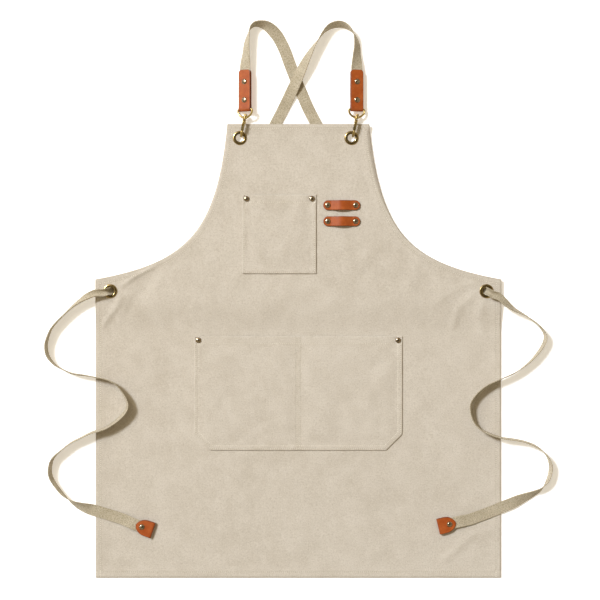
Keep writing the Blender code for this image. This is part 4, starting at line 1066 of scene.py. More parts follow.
def rivet_form(name, stack, post):
    """One rivet whose front cap's seat is at z = 0, through a stack of this thickness."""
    dome = []
    for k in range(7):
        angle = math.pi / 2 * k / 6
        dome.append(
            (
                max(CAP_RADIUS * 0.94 * math.cos(angle), 0.05 * MM),
                0.45 * MM + (CAP_HEIGHT - 0.45 * MM) * math.sin(angle),
            )
        )
    under = -stack
    profile = [
        (0.05 * MM, under - BACK_HEIGHT),
        (0.55 * CAP_RADIUS, under - BACK_HEIGHT),
        (0.86 * CAP_RADIUS, under - 0.8 * BACK_HEIGHT),
        (CAP_RADIUS, under - 0.45 * BACK_HEIGHT),
        (CAP_RADIUS, under - 0.1 * BACK_HEIGHT),
        (0.94 * CAP_RADIUS, under),
        (post, under),
        (post, 0.0),
        (0.95 * CAP_RADIUS, 0.0),
        (CAP_RADIUS, 0.12 * MM),
        (CAP_RADIUS, 0.38 * MM),
    ]
    points, faces = turned(profile + dome, 28, closed=False)
    form = new_mesh(name, points, faces, DARK_BRASS)
    form.hide_render = True
    return form


def rivet_tree():
    """A rivet on every point of the mesh, all turned alike."""
    inputs = [
        ("Rivet", "NodeSocketObject"),
        ("Turn", "NodeSocketRotation"),
        ("Metal", "NodeSocketMaterial"),
    ]
    tree, given, identifiers = geometry_tree("riveted points", inputs)
    points, rivet, turn, metal = (
        given.outputs[title] for title in ("Geometry", "Rivet", "Turn", "Metal")
    )
    copies(tree, points, rivet, turn, metal)
    return tree, identifiers


RIVET_TREE, RIVET_INPUTS = rivet_tree()
rivet_forms = []


def rivets(name, nodes, seats, stack, body="apron", post=RIVET_POST, turn=(0, 0, 0)):
    """Rivets with their front caps seated on these points, in place of the CAD nodes."""
    form = rivet_form(f"{name}_form", stack, post)
    rivet_forms.append(form)
    values = {"Rivet": form, "Turn": turn, "Metal": DARK_BRASS}
    made = grown(name, seats, [], RIVET_TREE, RIVET_INPUTS, values)
    return declare(made, nodes, body)


def rivet_seats(nodes):
    """The middle of each CAD rivet's front cap, at its seat."""
    return [(middle(n).x, middle(n).y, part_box(n)[1].z - CAP_HEIGHT) for n in nodes]


STACKS = {"chest_pocket": 2.7, "waist_pocket": 2.7}
STACKS |= {"brush_loop_upper": 3.6, "brush_loop_lower": 3.6}
for held, thickness in STACKS.items():
    held_nodes = [f"{held}_rivet_{side}" for side in SIDES]
    rivets(f"{held}_rivets", held_nodes, rivet_seats(held_nodes), thickness * MM)


# The grommets: a deep-drawn brass eyelet pushed through the canvas from the front, its foot
# curled over a flat washer behind. The flange is a smooth rolled ring round a straight barrel.

BORE = 7.0 * MM
FLANGE = 12.2 * MM
LIP = 6.5 * MM


def ring_about(centre, name, node, profile, material):
    """A ring turned about an eyelet's axis."""
    points, faces = turned(profile, 64, closed=True)
    points = [(x + centre.x, y + centre.y, z) for x, y, z in points]
    made = new_mesh(name, points, faces, material)
    return points, declare(made, [node], "apron")


def grommet(row, side):
    """An eyelet with its rolled flange and curled foot, and the washer behind."""
    eyelet, washer = f"{row}_grommet_{side}_eyelet", f"{row}_grommet_{side}_washer"
    centre = middle(eyelet)
    low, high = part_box(eyelet)
    washer_low, washer_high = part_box(washer)
    seat = high.z - 1.2 * MM
    roll = []
    for k in range(9):
        angle = math.pi * k / 8
        roll.append(
            (
                (LIP + FLANGE) / 2 + (FLANGE - LIP) / 2 * math.cos(angle),
                seat + 0.25 * MM + 1.05 * MM * math.sin(angle) ** 0.8,
            )
        )
    foot = []
    for k in range(7):
        angle = math.pi * k / 6
        foot.append(
            (
                BORE + 1.15 * MM - 1.15 * MM * math.cos(angle),
                low.z + 0.8 * MM - 0.8 * MM * math.sin(angle),
            )
        )
    profile = [(FLANGE, seat), *roll, (LIP + 0.1 * MM, seat - 0.3 * MM), (BORE, seat - 1.2 * MM)]
    profile += [*foot, (BORE + 0.5 * MM, low.z + 0.8 * MM), (BORE + 0.5 * MM, seat)]
    points, ring = ring_about(centre, f"{row}_grommet_{side}", eyelet, profile, BRASS)
    # Painted shade over the inner lip and down the bore.
    gaps = [math.hypot(x - centre.x, y - centre.y) - LIP for x, y, _ in points]
    point_values(ring, "recess_shade", [float(smooth(1 - gap / (1.6 * MM))) for gap in gaps])
    mid = (washer_low.z + washer_high.z) / 2
    half = (washer_high.z - washer_low.z) / 2
    flat = [
        (BORE + 0.9 * MM, mid - half),
        (FLANGE - 0.4 * MM, mid - half),
        (FLANGE, mid - 0.4 * half),
        (FLANGE, mid + 0.4 * half),
        (FLANGE - 0.4 * MM, mid + half),
        (BORE + 0.9 * MM, mid + half),
    ]
    ring_about(centre, f"{row}_grommet_{side}_back", washer, flat, DARK_BRASS)


for grommet_row in ("bib", "waist"):
    for grommet_side in SIDES:
        grommet(grommet_row, grommet_side)


# The snap hooks: cast and polished brass. A bent wire back and nose stand on a cast base that
# holds the gate's pin and spring, and the base's post turns in the collar of a D-shaped eye.

HOOK_WIRE = 1.6 * MM
HOOK_GAP = 13.4 * MM
HOOK_HALF = HOOK_GAP / 2 + HOOK_WIRE
COLLAR_RADIUS = 4.2 * MM
COLLAR_BORE = 2.5 * MM
COLLAR_LENGTH = 4.5 * MM
HOOK_POST = 1.5 * MM
POST_HEAD = (3.3 * MM, 2.3 * MM)
BASE_TOP = -3.5 * MM
BASE_BOTTOM = -9.5 * MM
BASE_HALF = 2.6 * MM
GATE_PIN = Vector((0, BASE_TOP - 4.08 * MM, HOOK_HALF))
GATE_WIDTH = 2.4 * MM
GATE_HEIGHT = 3.0 * MM
EYE_HEIGHT = 14.0 * MM
EYE_HALF = 13.6 * MM
EYE_CORNER = 2.2 * MM
EYE_WIRE = 1.5 * MM
EYE_FULL = 1.75 * MM
COLLAR_Y = 313.9 * MM
HOOK_Z = 10.2 * MM
BEND_Y = 281.2 * MM
EYE_X = {"left": -91.8 * MM, "right": 100.6 * MM}
ROLL = {"left": -26.0, "right": 12.0}
OPPOSITE = {"left": "right", "right": "left"}
POLISHED = brass_material("polished brass", (0.60, 0.445, 0.17, 1), (0.25, 0.18, 0.07, 1), 0.23)


def hook_place(side):
    """The hook's frame: origin in the collar, Y along the post and Z to the gate's side."""
    bend_x = middle(f"bib_grommet_{side}_eyelet").x + 2.5 * MM
    lean = math.atan2(EYE_X[side] - bend_x, COLLAR_Y - BEND_Y)
    at = Matrix.Translation((EYE_X[side], COLLAR_Y, HOOK_Z))
    return at @ Matrix.Rotation(-lean, 4, "Z"), HOOK_HALF - (COLLAR_Y - BEND_Y) / math.cos(lean)


def eye_place(side):
    """The eye's frame: origin in the collar, Y along the swivel's axis."""
    at = Matrix.Translation((EYE_X[side], COLLAR_Y, HOOK_Z))
    return at @ Matrix.Rotation(math.radians(ROLL[side]), 4, "Y")


def wire(path, radii, normal, closed=False, sides=24, oval=1.0):
    """A wire along a flat path, its radius given at each point, oval across the path's plane."""
    points, faces = [], []
    count = len(path)
    for i, spot in enumerate(path):
        before = path[i - 1] if closed or i else path[0]
        after = path[(i + 1) % count] if closed or i < count - 1 else path[-1]
        along = (after - before).normalized()
        out = along.cross(normal).normalized()
        for k in range(sides):
            angle = math.tau * k / sides
            offset = out * math.cos(angle) + normal * math.sin(angle) * oval
            points.append(spot + offset * radii[i])
    for i in range(count if closed else count - 1):
        a, b = i * sides, (i + 1) % count * sides
        for k in range(sides):
            j = (k + 1) % sides
            faces.append((a + k, a + j, b + j, b + k))
    if not closed:
        faces += [tuple(range(sides)), tuple(range((count - 1) * sides, count * sides))]
    return points, faces


def plate(outline, half, soft, steps=3):
    """An outline of (y, z) points carried across X, its two rims rounded by soft."""
    middle_y = sum(y for y, _ in outline) / len(outline)
    middle_z = sum(z for _, z in outline) / len(outline)
    rings = []
    for side in (-1, 1):
        for k in range(steps + 1):
            angle = math.pi / 2 * (k if side < 0 else steps - k) / steps
            inward = soft * (1 - math.sin(angle))
            x = side * (half - soft + soft * math.cos(angle))
            ring = []
            for y, z in outline:
                dy, dz = y - middle_y, z - middle_z
                far = max(math.hypot(dy, dz), 1e-9)
                ring.append((x, y - dy / far * inward, z - dz / far * inward))
            rings.append(ring)
    count = len(outline)
    points = [p for ring in rings for p in ring]
    faces = []
    for r in range(len(rings) - 1):
        for k in range(count):
            j = (k + 1) % count
            faces.append((r * count + k, r * count + j, (r + 1) * count + j, (r + 1) * count + k))
    faces += [tuple(range(count)), tuple(range(len(points) - count, len(points)))]
    return points, faces


def rounded(corners, soft, steps=4):
    """An outline's corners rounded off; every corner gives its own radius or the usual one."""
    found = []
    count = len(corners)
    for i, corner in enumerate(corners):
        spot = Vector(corner[:2])
        radius = corner[2] if len(corner) > 2 else soft
        into = (Vector(corners[i - 1][:2]) - spot).normalized()
        out = (Vector(corners[(i + 1) % count][:2]) - spot).normalized()
        for k in range(steps + 1):
            t = k / steps
            found.append(tuple(spot + into * radius * (1 - t) ** 2 + out * radius * t**2))
    return found


def fused(name, forms, place, cuts=()):
    """Closed forms fused into one casting, with others cut out of it, moved to their place."""
    solids = []
    for points, faces in (*forms, *cuts):
        solids.append(new_mesh(name, [place @ Vector(p) for p in points], faces, POLISHED))
    made, tools = solids[0], solids[1:]
    for i, tool in enumerate(tools):
        boolean(made, "UNION" if i < len(forms) - 1 else "DIFFERENCE", tool)
    settle(made)
    for tool in tools:
        bpy.data.objects.remove(tool)
    made.data.set_sharp_from_angle(angle=math.radians(42))
    return made


def along_y(profile, segments=32, closed=False):
    """A turned form whose axis is Y: (radius, y) points."""
    points, faces = turned(profile, segments, closed)
    return [(x, z, -y) for x, y, z in points], faces


def hook_parts(side):
    place, bend = hook_place(side)
    back = [Vector((0, BASE_BOTTOM + 1.6 * MM, -HOOK_HALF)), Vector((0, -12 * MM, -HOOK_HALF))]
    back += [Vector((0, -12 * MM + (bend + 12 * MM) * t, -HOOK_HALF)) for t in (0.3, 0.6, 0.9)]
    for i in range(33):
        angle = math.radians(-90 - 180 * i / 32)
        back.append(Vector((0, bend + HOOK_HALF * math.cos(angle), HOOK_HALF * math.sin(angle))))
    back += [Vector((0, bend + up * MM, HOOK_HALF)) for up in (0.3, 0.55, 0.72, 0.8)]
    radii = [HOOK_WIRE] * (len(back) - 3) + [0.96 * HOOK_WIRE, 0.84 * HOOK_WIRE, 0.6 * HOOK_WIRE]
    outer = HOOK_HALF + HOOK_WIRE
    lower = [
        (BASE_TOP, -POST_HEAD[0], 0.5 * MM),
        (BASE_TOP, POST_HEAD[0], 0.5 * MM),
        (BASE_TOP - 1.8 * MM, outer - 1.0 * MM, 0.9 * MM),
        (BASE_TOP - 3.3 * MM, outer, 0.9 * MM),
        (BASE_BOTTOM, outer, 0.4 * MM),
        (BASE_BOTTOM, HOOK_GAP / 2 - 0.5 * MM, 0.3 * MM),
        (BASE_BOTTOM + 1.2 * MM, HOOK_GAP / 2 - 1.6 * MM, 0.8 * MM),
        (BASE_BOTTOM + 1.2 * MM, -HOOK_GAP / 2 + 0.6 * MM, 0.8 * MM),
        (BASE_BOTTOM, -HOOK_GAP / 2, 0.3 * MM),
        (BASE_BOTTOM, -outer, 0.5 * MM),
        (BASE_TOP - 3.0 * MM, -outer, 1.2 * MM),
    ]
    base = plate(rounded(lower, 0.6 * MM), BASE_HALF, 0.7 * MM)
    head_start = COLLAR_LENGTH / 2 + 1.25 * MM
    head_r, head_long = POST_HEAD
    post = [(0.05 * MM, BASE_TOP - 1.6 * MM), (HOOK_POST, BASE_TOP - 1.6 * MM)]
    post += [(HOOK_POST, head_start), (head_r - 0.4 * MM, head_start)]
    post += [(head_r, head_start + 0.4 * MM), (head_r, head_start + head_long - 0.9 * MM)]
    post += [(head_r - 0.35 * MM, head_start + head_long - 0.35 * MM)]
    post += [(head_r - 1.1 * MM, head_start + head_long), (0.05 * MM, head_start + head_long)]
    low = HOOK_GAP / 2 - 3.0 * MM
    end = GATE_PIN.y + HOOK_WIRE + CLEARANCE
    slot = [(BASE_BOTTOM - 2 * MM, low), (BASE_BOTTOM - 2 * MM, outer + 2 * MM)]
    slot += [(end, outer + 2 * MM), (end, low)]
    made = fused(
        f"hook_body_{side}_cast",
        [base, wire(back, radii, Vector((1, 0, 0)), oval=1.35), along_y(post)],
        place,
        [plate(slot, GATE_WIDTH / 2 + CLEARANCE, 0.01 * MM, steps=1)],
    )
    declare(made, [f"hook_body_{side}"], f"hook_{side}")
    return place, bend


def gate_parts(side, place, bend):
    tip = bend + 0.8 * MM + CLEARANCE
    half = GATE_HEIGHT / 2
    lever = BASE_BOTTOM - 2.2 * MM
    z = GATE_PIN.z
    lower = [
        (tip, z - half, 0.5 * MM),
        (tip, z + half, 0.5 * MM),
        (lever - 3.4 * MM, z + half, 0.9 * MM),
        (lever - 2.0 * MM, z + half + 2.2 * MM, 0.7 * MM),
        (lever - 1.2 * MM, z + half + 3 * MM, 0.3 * MM),
        (lever, z + half + 3 * MM, 0.4 * MM),
        (lever, z + half, 0.5 * MM),
    ]
    outline = rounded(lower, 0.4 * MM)
    for i in range(11):
        angle = math.radians(70 - 14 * i)
        outline.append(
            (GATE_PIN.y + HOOK_WIRE * math.cos(angle), z + HOOK_WIRE * math.sin(angle))
        )
    points, faces = plate(outline, GATE_WIDTH / 2, 0.45 * MM)
    # In front of the slot the gate is broader, as wide as the thumb needs.
    ahead = [(BASE_BOTTOM - 0.3 * MM - y) / (1.6 * MM) for _, y, _ in points]
    broad = [1 + 1.1 * float(smooth(share)) for share in ahead]
    bar = ([(x * wide, y, height) for (x, y, height), wide in zip(points, broad)], faces)
    leaf = fused(f"hook_gate_{side}_cast", [bar], place)
    declare(leaf, [f"hook_gate_{side}"], f"gate_{side}")
    long = (BASE_HALF - 0.2 * MM) * 2
    profile = [(0.05 * MM, -long / 2), (0.5 * MM, -long / 2), (0.7 * MM, -long / 2 + 0.2 * MM)]
    profile += [(0.7 * MM, long / 2 - 0.2 * MM), (0.5 * MM, long / 2), (0.05 * MM, long / 2)]
    points, faces = turned(profile, 16, closed=False)
    points = [Vector((c, a, b)) + GATE_PIN for a, b, c in points]
    pin = fused(f"hook_gate_pin_{side}_turned", [(points, faces)], place)
    declare(pin, [f"hook_gate_pin_{side}"], f"hook_{side}")


def eye_parts(side):
    place = eye_place(side)
    straight = EYE_HALF - EYE_CORNER
    corner_y = EYE_HEIGHT - EYE_CORNER
    path = [Vector((straight * t, EYE_HEIGHT, 0)) for t in np.linspace(-1, 1, 9)]


    def arc(turns, x, rx, ry):
        for turn in np.radians(turns).tolist():
            path.append(Vector((x + rx * math.cos(turn), corner_y + ry * math.sin(turn), 0)))

    arc(np.linspace(78, 0, 7), straight, EYE_CORNER, EYE_CORNER)
    arc(np.linspace(-5, -175, 43), 0, EYE_HALF, corner_y)
    arc(np.linspace(180, 102, 7), -straight, EYE_CORNER, EYE_CORNER)
    ring = wire(path, [EYE_FULL] * len(path), Vector((0, 0, 1)), closed=True)
    half = COLLAR_LENGTH / 2
    tube = [
        (COLLAR_BORE, -half + 0.2 * MM),
        (COLLAR_BORE + 0.25 * MM, -half),
        (COLLAR_RADIUS - 0.5 * MM, -half),
        (COLLAR_RADIUS, -half + 0.5 * MM),
        (COLLAR_RADIUS, half - 0.5 * MM),
        (COLLAR_RADIUS - 0.5 * MM, half),
        (COLLAR_BORE + 0.25 * MM, half),
        (COLLAR_BORE, half - 0.2 * MM),
    ]
    inside = COLLAR_BORE + 0.4 * MM
    hole = [(0.05 * MM, -3 * MM), (inside, -3 * MM), (inside, 3 * MM), (0.05 * MM, 3 * MM)]
    cut_ring = fused("eye_wire", [ring], Matrix.Identity(4), [along_y(hole)])
    corners = [point.co.copy() for point in cut_ring.data.vertices]
    cut_form = (corners, [tuple(face.vertices) for face in cut_ring.data.polygons])
    bpy.data.objects.remove(cut_ring)
    made = fused(f"hook_eye_{side}_cast", [cut_form, along_y(tube, closed=True)], place)
    declare(made, [f"hook_eye_{side}"], f"eye_{side}")


for hook_side in SIDES:
    hook_at, hook_bend = hook_parts(hook_side)
    gate_parts(hook_side, hook_at, hook_bend)
    eye_parts(hook_side)
    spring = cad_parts[f"hook_gate_spring_{hook_side}"]
    spring.data.materials.clear()
    spring.data.materials.append(DARK_BRASS)


# The connectors: a strip of the tan leather folded round the eye's bar, with the strap's end
# between its two layers, and two rivets through all three.

CONNECTOR_LEATHER = 2.0 * MM
CONNECTOR_LENGTH = 68.0 * MM
CONNECTOR_HALF = 11.2 * MM
CONNECTOR_LAYER = 2.1 * MM
CONNECTOR_RIVETS = (16.0 * MM, 47.5 * MM)


def connector_place(side):
    """The connector's frame: origin on the eye's bar, Y towards the strap."""
    return eye_place(side) @ Matrix.Translation((0, EYE_HEIGHT, 0))


def make_connector(side):
    """A strip folded round the eye's bar, its cut ends rounded, and its two rivets."""
    corner = 5 * MM
    square = CONNECTOR_LENGTH - corner
    bend = EYE_WIRE + CLEARANCE + CONNECTOR_LEATHER / 2
    flat = []
    for a in (90, 82, 72, 60, 46, 30, 14):
        turn = math.radians(a)
        cut = corner * (1 - math.cos(turn))
        # Towards the cut end the strip's corners are rounded off.
        flat.append((square + corner * math.sin(turn), CONNECTOR_LAYER, CONNECTOR_HALF - cut))
    for y in np.linspace(62, 12, 26):
        pinch = 0.18 * MM * math.sin(math.pi * (y - 16) / 31.5) if 16 < y < 47.5 else 0.0
        flat.append((y * MM, CONNECTOR_LAYER + pinch, CONNECTOR_HALF))
    for t in (0.25, 0.5, 0.75):
        y = 12 * MM + (0.9 * MM - 12 * MM) * t
        z = CONNECTOR_LAYER + (bend - CONNECTOR_LAYER) * float(smooth(t))
        flat.append((y, z, CONNECTOR_HALF))
    round_bar = []
    for a in np.linspace(84, 276, 17):
        turn = math.radians(a)
        round_bar.append((bend * math.cos(turn), bend * math.sin(turn), CONNECTOR_HALF))
    path = flat + round_bar + [(y, -z, w) for y, z, w in flat[::-1]]
    stations = []
    for i, (y, z, w) in enumerate(path):
        end = min(i, len(path) - 1 - i)
        shade = (1.0, 0.75, 0.35, 0.12)[end] if end < 4 else 0.0
        fold = 0.22 if abs(math.hypot(y, z) - bend) < 0.3 * MM else 0.0
        stations.append(((0, y, z), (1, 0, 0), w, CONNECTOR_LEATHER, max(shade, fold)))
    place, body = connector_place(side), f"connector_{side}"
    made = leather_strip(f"leather_connector_{side}_strip", stations, place)
    declare(made, [f"leather_connector_{side}"], body)
    top = CONNECTOR_LAYER + CONNECTOR_LEATHER / 2 + 0.12 * MM
    seats = [place @ Vector((0, y, top)) for y in CONNECTOR_RIVETS]
    turn = (0, math.radians(ROLL[side]), 0)
    names = [f"connector_rivet_{row}_{side}" for row in ("lower", "upper")]
    rivets(f"connector_rivets_{side}", names, seats, 2 * top, body, STOUT_POST, turn)


for connector_side in SIDES:
    make_connector(connector_side)


# The webbing: cotton, 20 mm wide and coarsely woven, one length on each side. It starts inside
# the connector, crosses behind the bib to the other side's waist grommet, curls up through it
# and lies free as the waist tie. Lengths in the routes are millimetres, the last is its roll.

WEBBING_WIDTH = 20.0 * MM
WEBBING = 1.6 * MM
SHOULDER_ROUTE = {
    "left": [
        (0.5, 12, 10, -34), (1.5, 26, 10.4, -52), (2.4, 43, 10.6, -62), (5.6, 60, 10.5, -78),
        (9.5, 71, 10.5, -92), (16.5, 76.6, 10.5, -104), (26, 77.4, 10.2, -116),
        (36, 75, 8.2, -136), (45, 69, 5.6, -158), (52.5, 61, 2.6, -174), (60, 50, 1.15, -180),
        (69, 31, 1.1, -180), (77, 9, 1.1, -180), (86, -14, 1.1, -180), (98, -43, 1.1, -180),
        (110, -70, 1.1, -180), (123.5, -96, 1.1, -180), (147, -144, 1.1, -180),
        (174, -193, 1.1, -180), (205, -242, 1.1, -180), (243, -290, 1.1, -180),
        (294, -330, 1.1, -180), (354, -358, 1.1, -180),
    ],
    "right": [
        (0.1, 9, 10.4, 24), (0.2, 23, 11.2, 44), (0.6, 40, 11, 58), (-3, 56, 10.6, 76),
        (-9.5, 66.5, 10.6, 92), (-19.5, 74, 10.6, 108), (-32, 76.6, 10.6, 116),
        (-46, 72.6, 10.6, 110), (-56.5, 64, 10.6, 96), (-66, 50.8, 10.6, 84),
        (-75.5, 36.5, 10.6, 70), (-86, 17.5, 10.6, 50), (-95.5, -2.5, 8.6, 32),
        (-105.5, -24, 6, 17), (-114, -42, 3.6, 6), (-121.5, -58, 1.8, 0), (-131, -77, 1.1, 0),
        (-140, -94.5, 1.1, 0), (-162, -142, 1.1, 0), (-189, -192, 1.1, 0), (-220, -242, 1.1, 0),
        (-256, -289, 1.1, 0), (-305, -329, 1.1, 0), (-363, -357, 1.1, 0),
    ],
}
TIE_ROUTE = {
    "left": [
        (-26.5, -6, 16.4, 36), (-39, -11.5, 15.6, 54), (-52, -18.5, 12.4, 70),
        (-69, -31, 10.7, 80), (-86.5, -48, 10.6, 88), (-101, -65, 10.6, 90),
        (-108.5, -84, 10.6, 94), (-110, -98, 10.6, 96), (-106.5, -112.5, 10.6, 95),
        (-95.5, -126, 10.6, 90), (-81, -135, 11, 84), (-63.5, -142, 12.2, 80),
        (-42.5, -145, 13.3, 82), (-23, -148.5, 13.4, 84), (-7, -152, 13.4, 84),
        (7.5, -158.5, 13.4, 84), (19, -171, 13.4, 82), (27, -184, 13.3, 78),
        (30, -197, 13.2, 74), (25, -209.5, 13.2, 74), (12.5, -222, 13.2, 76),
        (-3.5, -233.5, 13.3, 80), (-16, -238.7, 13.4, 82), (-33.5, -244.5, 13.3, 84),
        (-51, -253, 12, 86), (-68.5, -262, 10.8, 87), (-86.5, -276, 10.6, 90),
        (-98.5, -288.5, 10.6, 95), (-103, -302.5, 10.6, 99), (-102.3, -318.5, 10.6, 99),
        (-93.5, -334.5, 10.6, 96), (-80, -351, 10.6, 90), (-64.5, -363.5, 10.6, 66),
        (-48, -371.5, 8.4, 36), (-35, -376, 5.4, 12), (-22.5, -379.8, 4.2, 2),
        (1.5, -387.2, 3.9, 0), (20, -393, 4.6, 0),
    ],
    "right": [
        (20, -11.5, 15.6, -30), (30.5, -21.5, 15.8, -52), (44, -31, 12.6, -68),
        (57, -37.5, 11, -78), (69, -43.5, 10.6, -84), (88.5, -58, 10.6, -90),
        (99.5, -72, 10.6, -94), (100.8, -84, 10.6, -96), (93.5, -99, 10.6, -95),
        (77, -119, 10.8, -90), (52.5, -138.5, 12, -82), (29, -149.5, 13.4, -82),
        (2.5, -161.5, 13.4, -80), (-14, -175, 13.3, -74), (-24, -189, 13.2, -70),
        (-27, -201, 13.2, -70), (-24, -218.5, 13.3, -74), (-14, -234.5, 13.4, -80),
        (2, -244.5, 13.4, -84), (25.5, -252.5, 13.4, -86), (45.5, -255.5, 12.4, -86),
        (65, -259.5, 10.9, -86), (85, -267.5, 10.6, -84), (101, -280, 10.6, -90),
        (109.5, -296, 10.6, -96), (109.5, -312, 10.6, -97), (104, -328, 10.6, -92),
        (93, -341.5, 10.6, -68), (79.5, -349, 9.6, -52), (65.5, -355.5, 7.6, -34),
        (52, -362, 5.4, -14), (41, -367.3, 4.4, -4), (25.5, -373.5, 3.9, 0), (6, -381.5, 3.9, 0),
        (-14, -389, 3.9, 0), (-29, -394, 4.6, 0),
    ],
}
TIP_PLACE = {"left": ((73.0, -412.6), -19.0), "right": ((-82.6, -406.2), -166.0)}
TIP_Z = 7.3 * MM
TIP_LENGTH = 30.6 * MM
STUB_END = CONNECTOR_LENGTH + 2.0 * MM


def webbing_material():
    """Undyed cotton webbing: thick rows of weft between warp ribs, its hollows in shade."""
    material, tree, shader = new_material(
        "cotton webbing", Sheen_Weight=0.15, Specular_IOR_Level=0.25
    )
    place = add_node(tree, "ShaderNodeUVMap", uv_map="weave").outputs[0]
    thread, slub = woven(tree, place, (700, 620, 0))
    clouds = noise(tree, place, 60.0, 4.0)
    fleck = noise(tree, place, 420.0, 3.0, 0.7)
    layers = [
        (map_range(tree, clouds, 0.32, 0.68), (0.720, 0.622, 0.448, 1)),
        (map_range(tree, slub, 0.35, 0.68, 0.0, 0.35), (0.430, 0.365, 0.250, 1)),
        (map_range(tree, fleck, 0.50, 0.66, 0.0, 0.75), (0.300, 0.240, 0.140, 1)),
        (map_range(tree, fleck, 0.34, 0.49, 0.60, 0.0), (0.780, 0.710, 0.560, 1)),
        (map_range(tree, thread, 0.0, 0.5, 0.62, 0.0), (0.250, 0.205, 0.125, 1)),
    ]
    stain(tree, shader, (0.605, 0.512, 0.352, 1), layers)
    height = math_node(tree, "MULTIPLY_ADD", slub, 0.5, thread)
    raise_surface(tree, shader, height, 0.0005, 0.8)
    tree.links.new(map_range(tree, slub, 0.3, 0.7, 0.78, 0.95), shader.inputs["Roughness"])
    return material


COTTON_WEBBING = webbing_material()


def smooth_route(points, spacing):
    """Points about a spacing apart on a smooth curve through rows of numbers."""
    found = []
    rows = [points[0], *points, points[-1]]
    for before, here, after, beyond in zip(rows, rows[1:], rows[2:], rows[3:]):
        steps = max(1, round(math.dist(here[:3], after[:3]) / spacing))
        for i in range(steps):
            t = i / steps
            a, b, c, d = (np.array(row, float) for row in (before, here, after, beyond))
            curved = 2 * b + (c - a) * t + (2 * a - 5 * b + 4 * c - d) * t * t
            found.append(0.5 * (curved + (3 * b - a - 3 * c + d) * t**3))
    return np.array(found + [points[-1]])


def webbing_section():
    """A flat tape's cross-section: (across, through), its two woven edges rounded."""
    half, thick, soft = WEBBING_WIDTH / 2, WEBBING / 2, 0.7 * MM
    across = np.linspace(-1, 1, 13) * (half - soft)
    top = [(a, thick * (1 - 0.06 * abs(a) / half)) for a in across]
    edge = [(half - soft + soft * math.cos(t), thick * math.sin(t)) for t in (1.0, 0.0, -1.0)]
    bottom = [(a, -b) for a, b in top[::-1]]
    return top + edge + bottom + [(-a, -b) for a, b in edge]


TAPE = webbing_section()


def webbing(name, rows, first_along=None, last_along=None, starts=0.0, bowed=1):
    """Webbing along rows of (x, y, z, roll, curl, set back), with its weave along it.

    The curl is the angle that the tape's section is bent through, in radians. The tape is
    always bowed a little, to the side that the sign of bowed gives.
    """
    points, uvs, faces, far = [], [], [], starts
    up, last = Vector((0, 0, 1)), len(rows) - 1
    for i, row in enumerate(rows):
        point = Vector(row[:3])
        if i:
            far += math.dist(row[:3], rows[i - 1][:3])
        along = Vector(rows[min(last, i + 1)][:3]) - Vector(rows[max(0, i - 1)][:3])
        if i == 0 and first_along is not None:
            along = first_along
        if i == last and last_along is not None:
            along = last_along
        along = along.normalized()
        level = up.cross(along).normalized()
        above = along.cross(level)
        turn = math.radians(row[3])
        across = level * math.cos(turn) + above * math.sin(turn)
        through = along.cross(across)
        radius = WEBBING_WIDTH / (row[4] + 0.12 * math.copysign(1, bowed))
        depth = radius * (1 - math.cos(WEBBING_WIDTH / radius / 2))
        for a, b in TAPE:
            angle = a / radius
            side = (radius - b) * math.sin(angle)
            rise = radius - (radius - b) * math.cos(angle) - depth * row[5]
            points.append(point + across * side + through * rise)
            uvs.append((a, far))
    count = len(TAPE)
    for r in range(last):
        for k in range(count):
            a, b = r * count + k, r * count + (k + 1) % count
            faces.append((a, b, b + count, a + count))
    faces += [tuple(range(count)), tuple(range(len(points) - count, len(points)))]
    made = new_mesh(name, points, faces, COTTON_WEBBING, uv=uvs)
    made.data.set_sharp_from_angle(angle=math.radians(60))
    return made


def tip_place(side):
    """The tip's frame: origin in the middle of its folded end, Y back along the strap."""
    (x, y), heading = TIP_PLACE[side]
    grommet = middle(f"waist_grommet_{side}_eyelet")
    at = Matrix.Translation((grommet.x + x * MM, grommet.y + y * MM, TIP_Z))
    return at @ Matrix.Rotation(math.radians(heading + 90), 4, "Z")


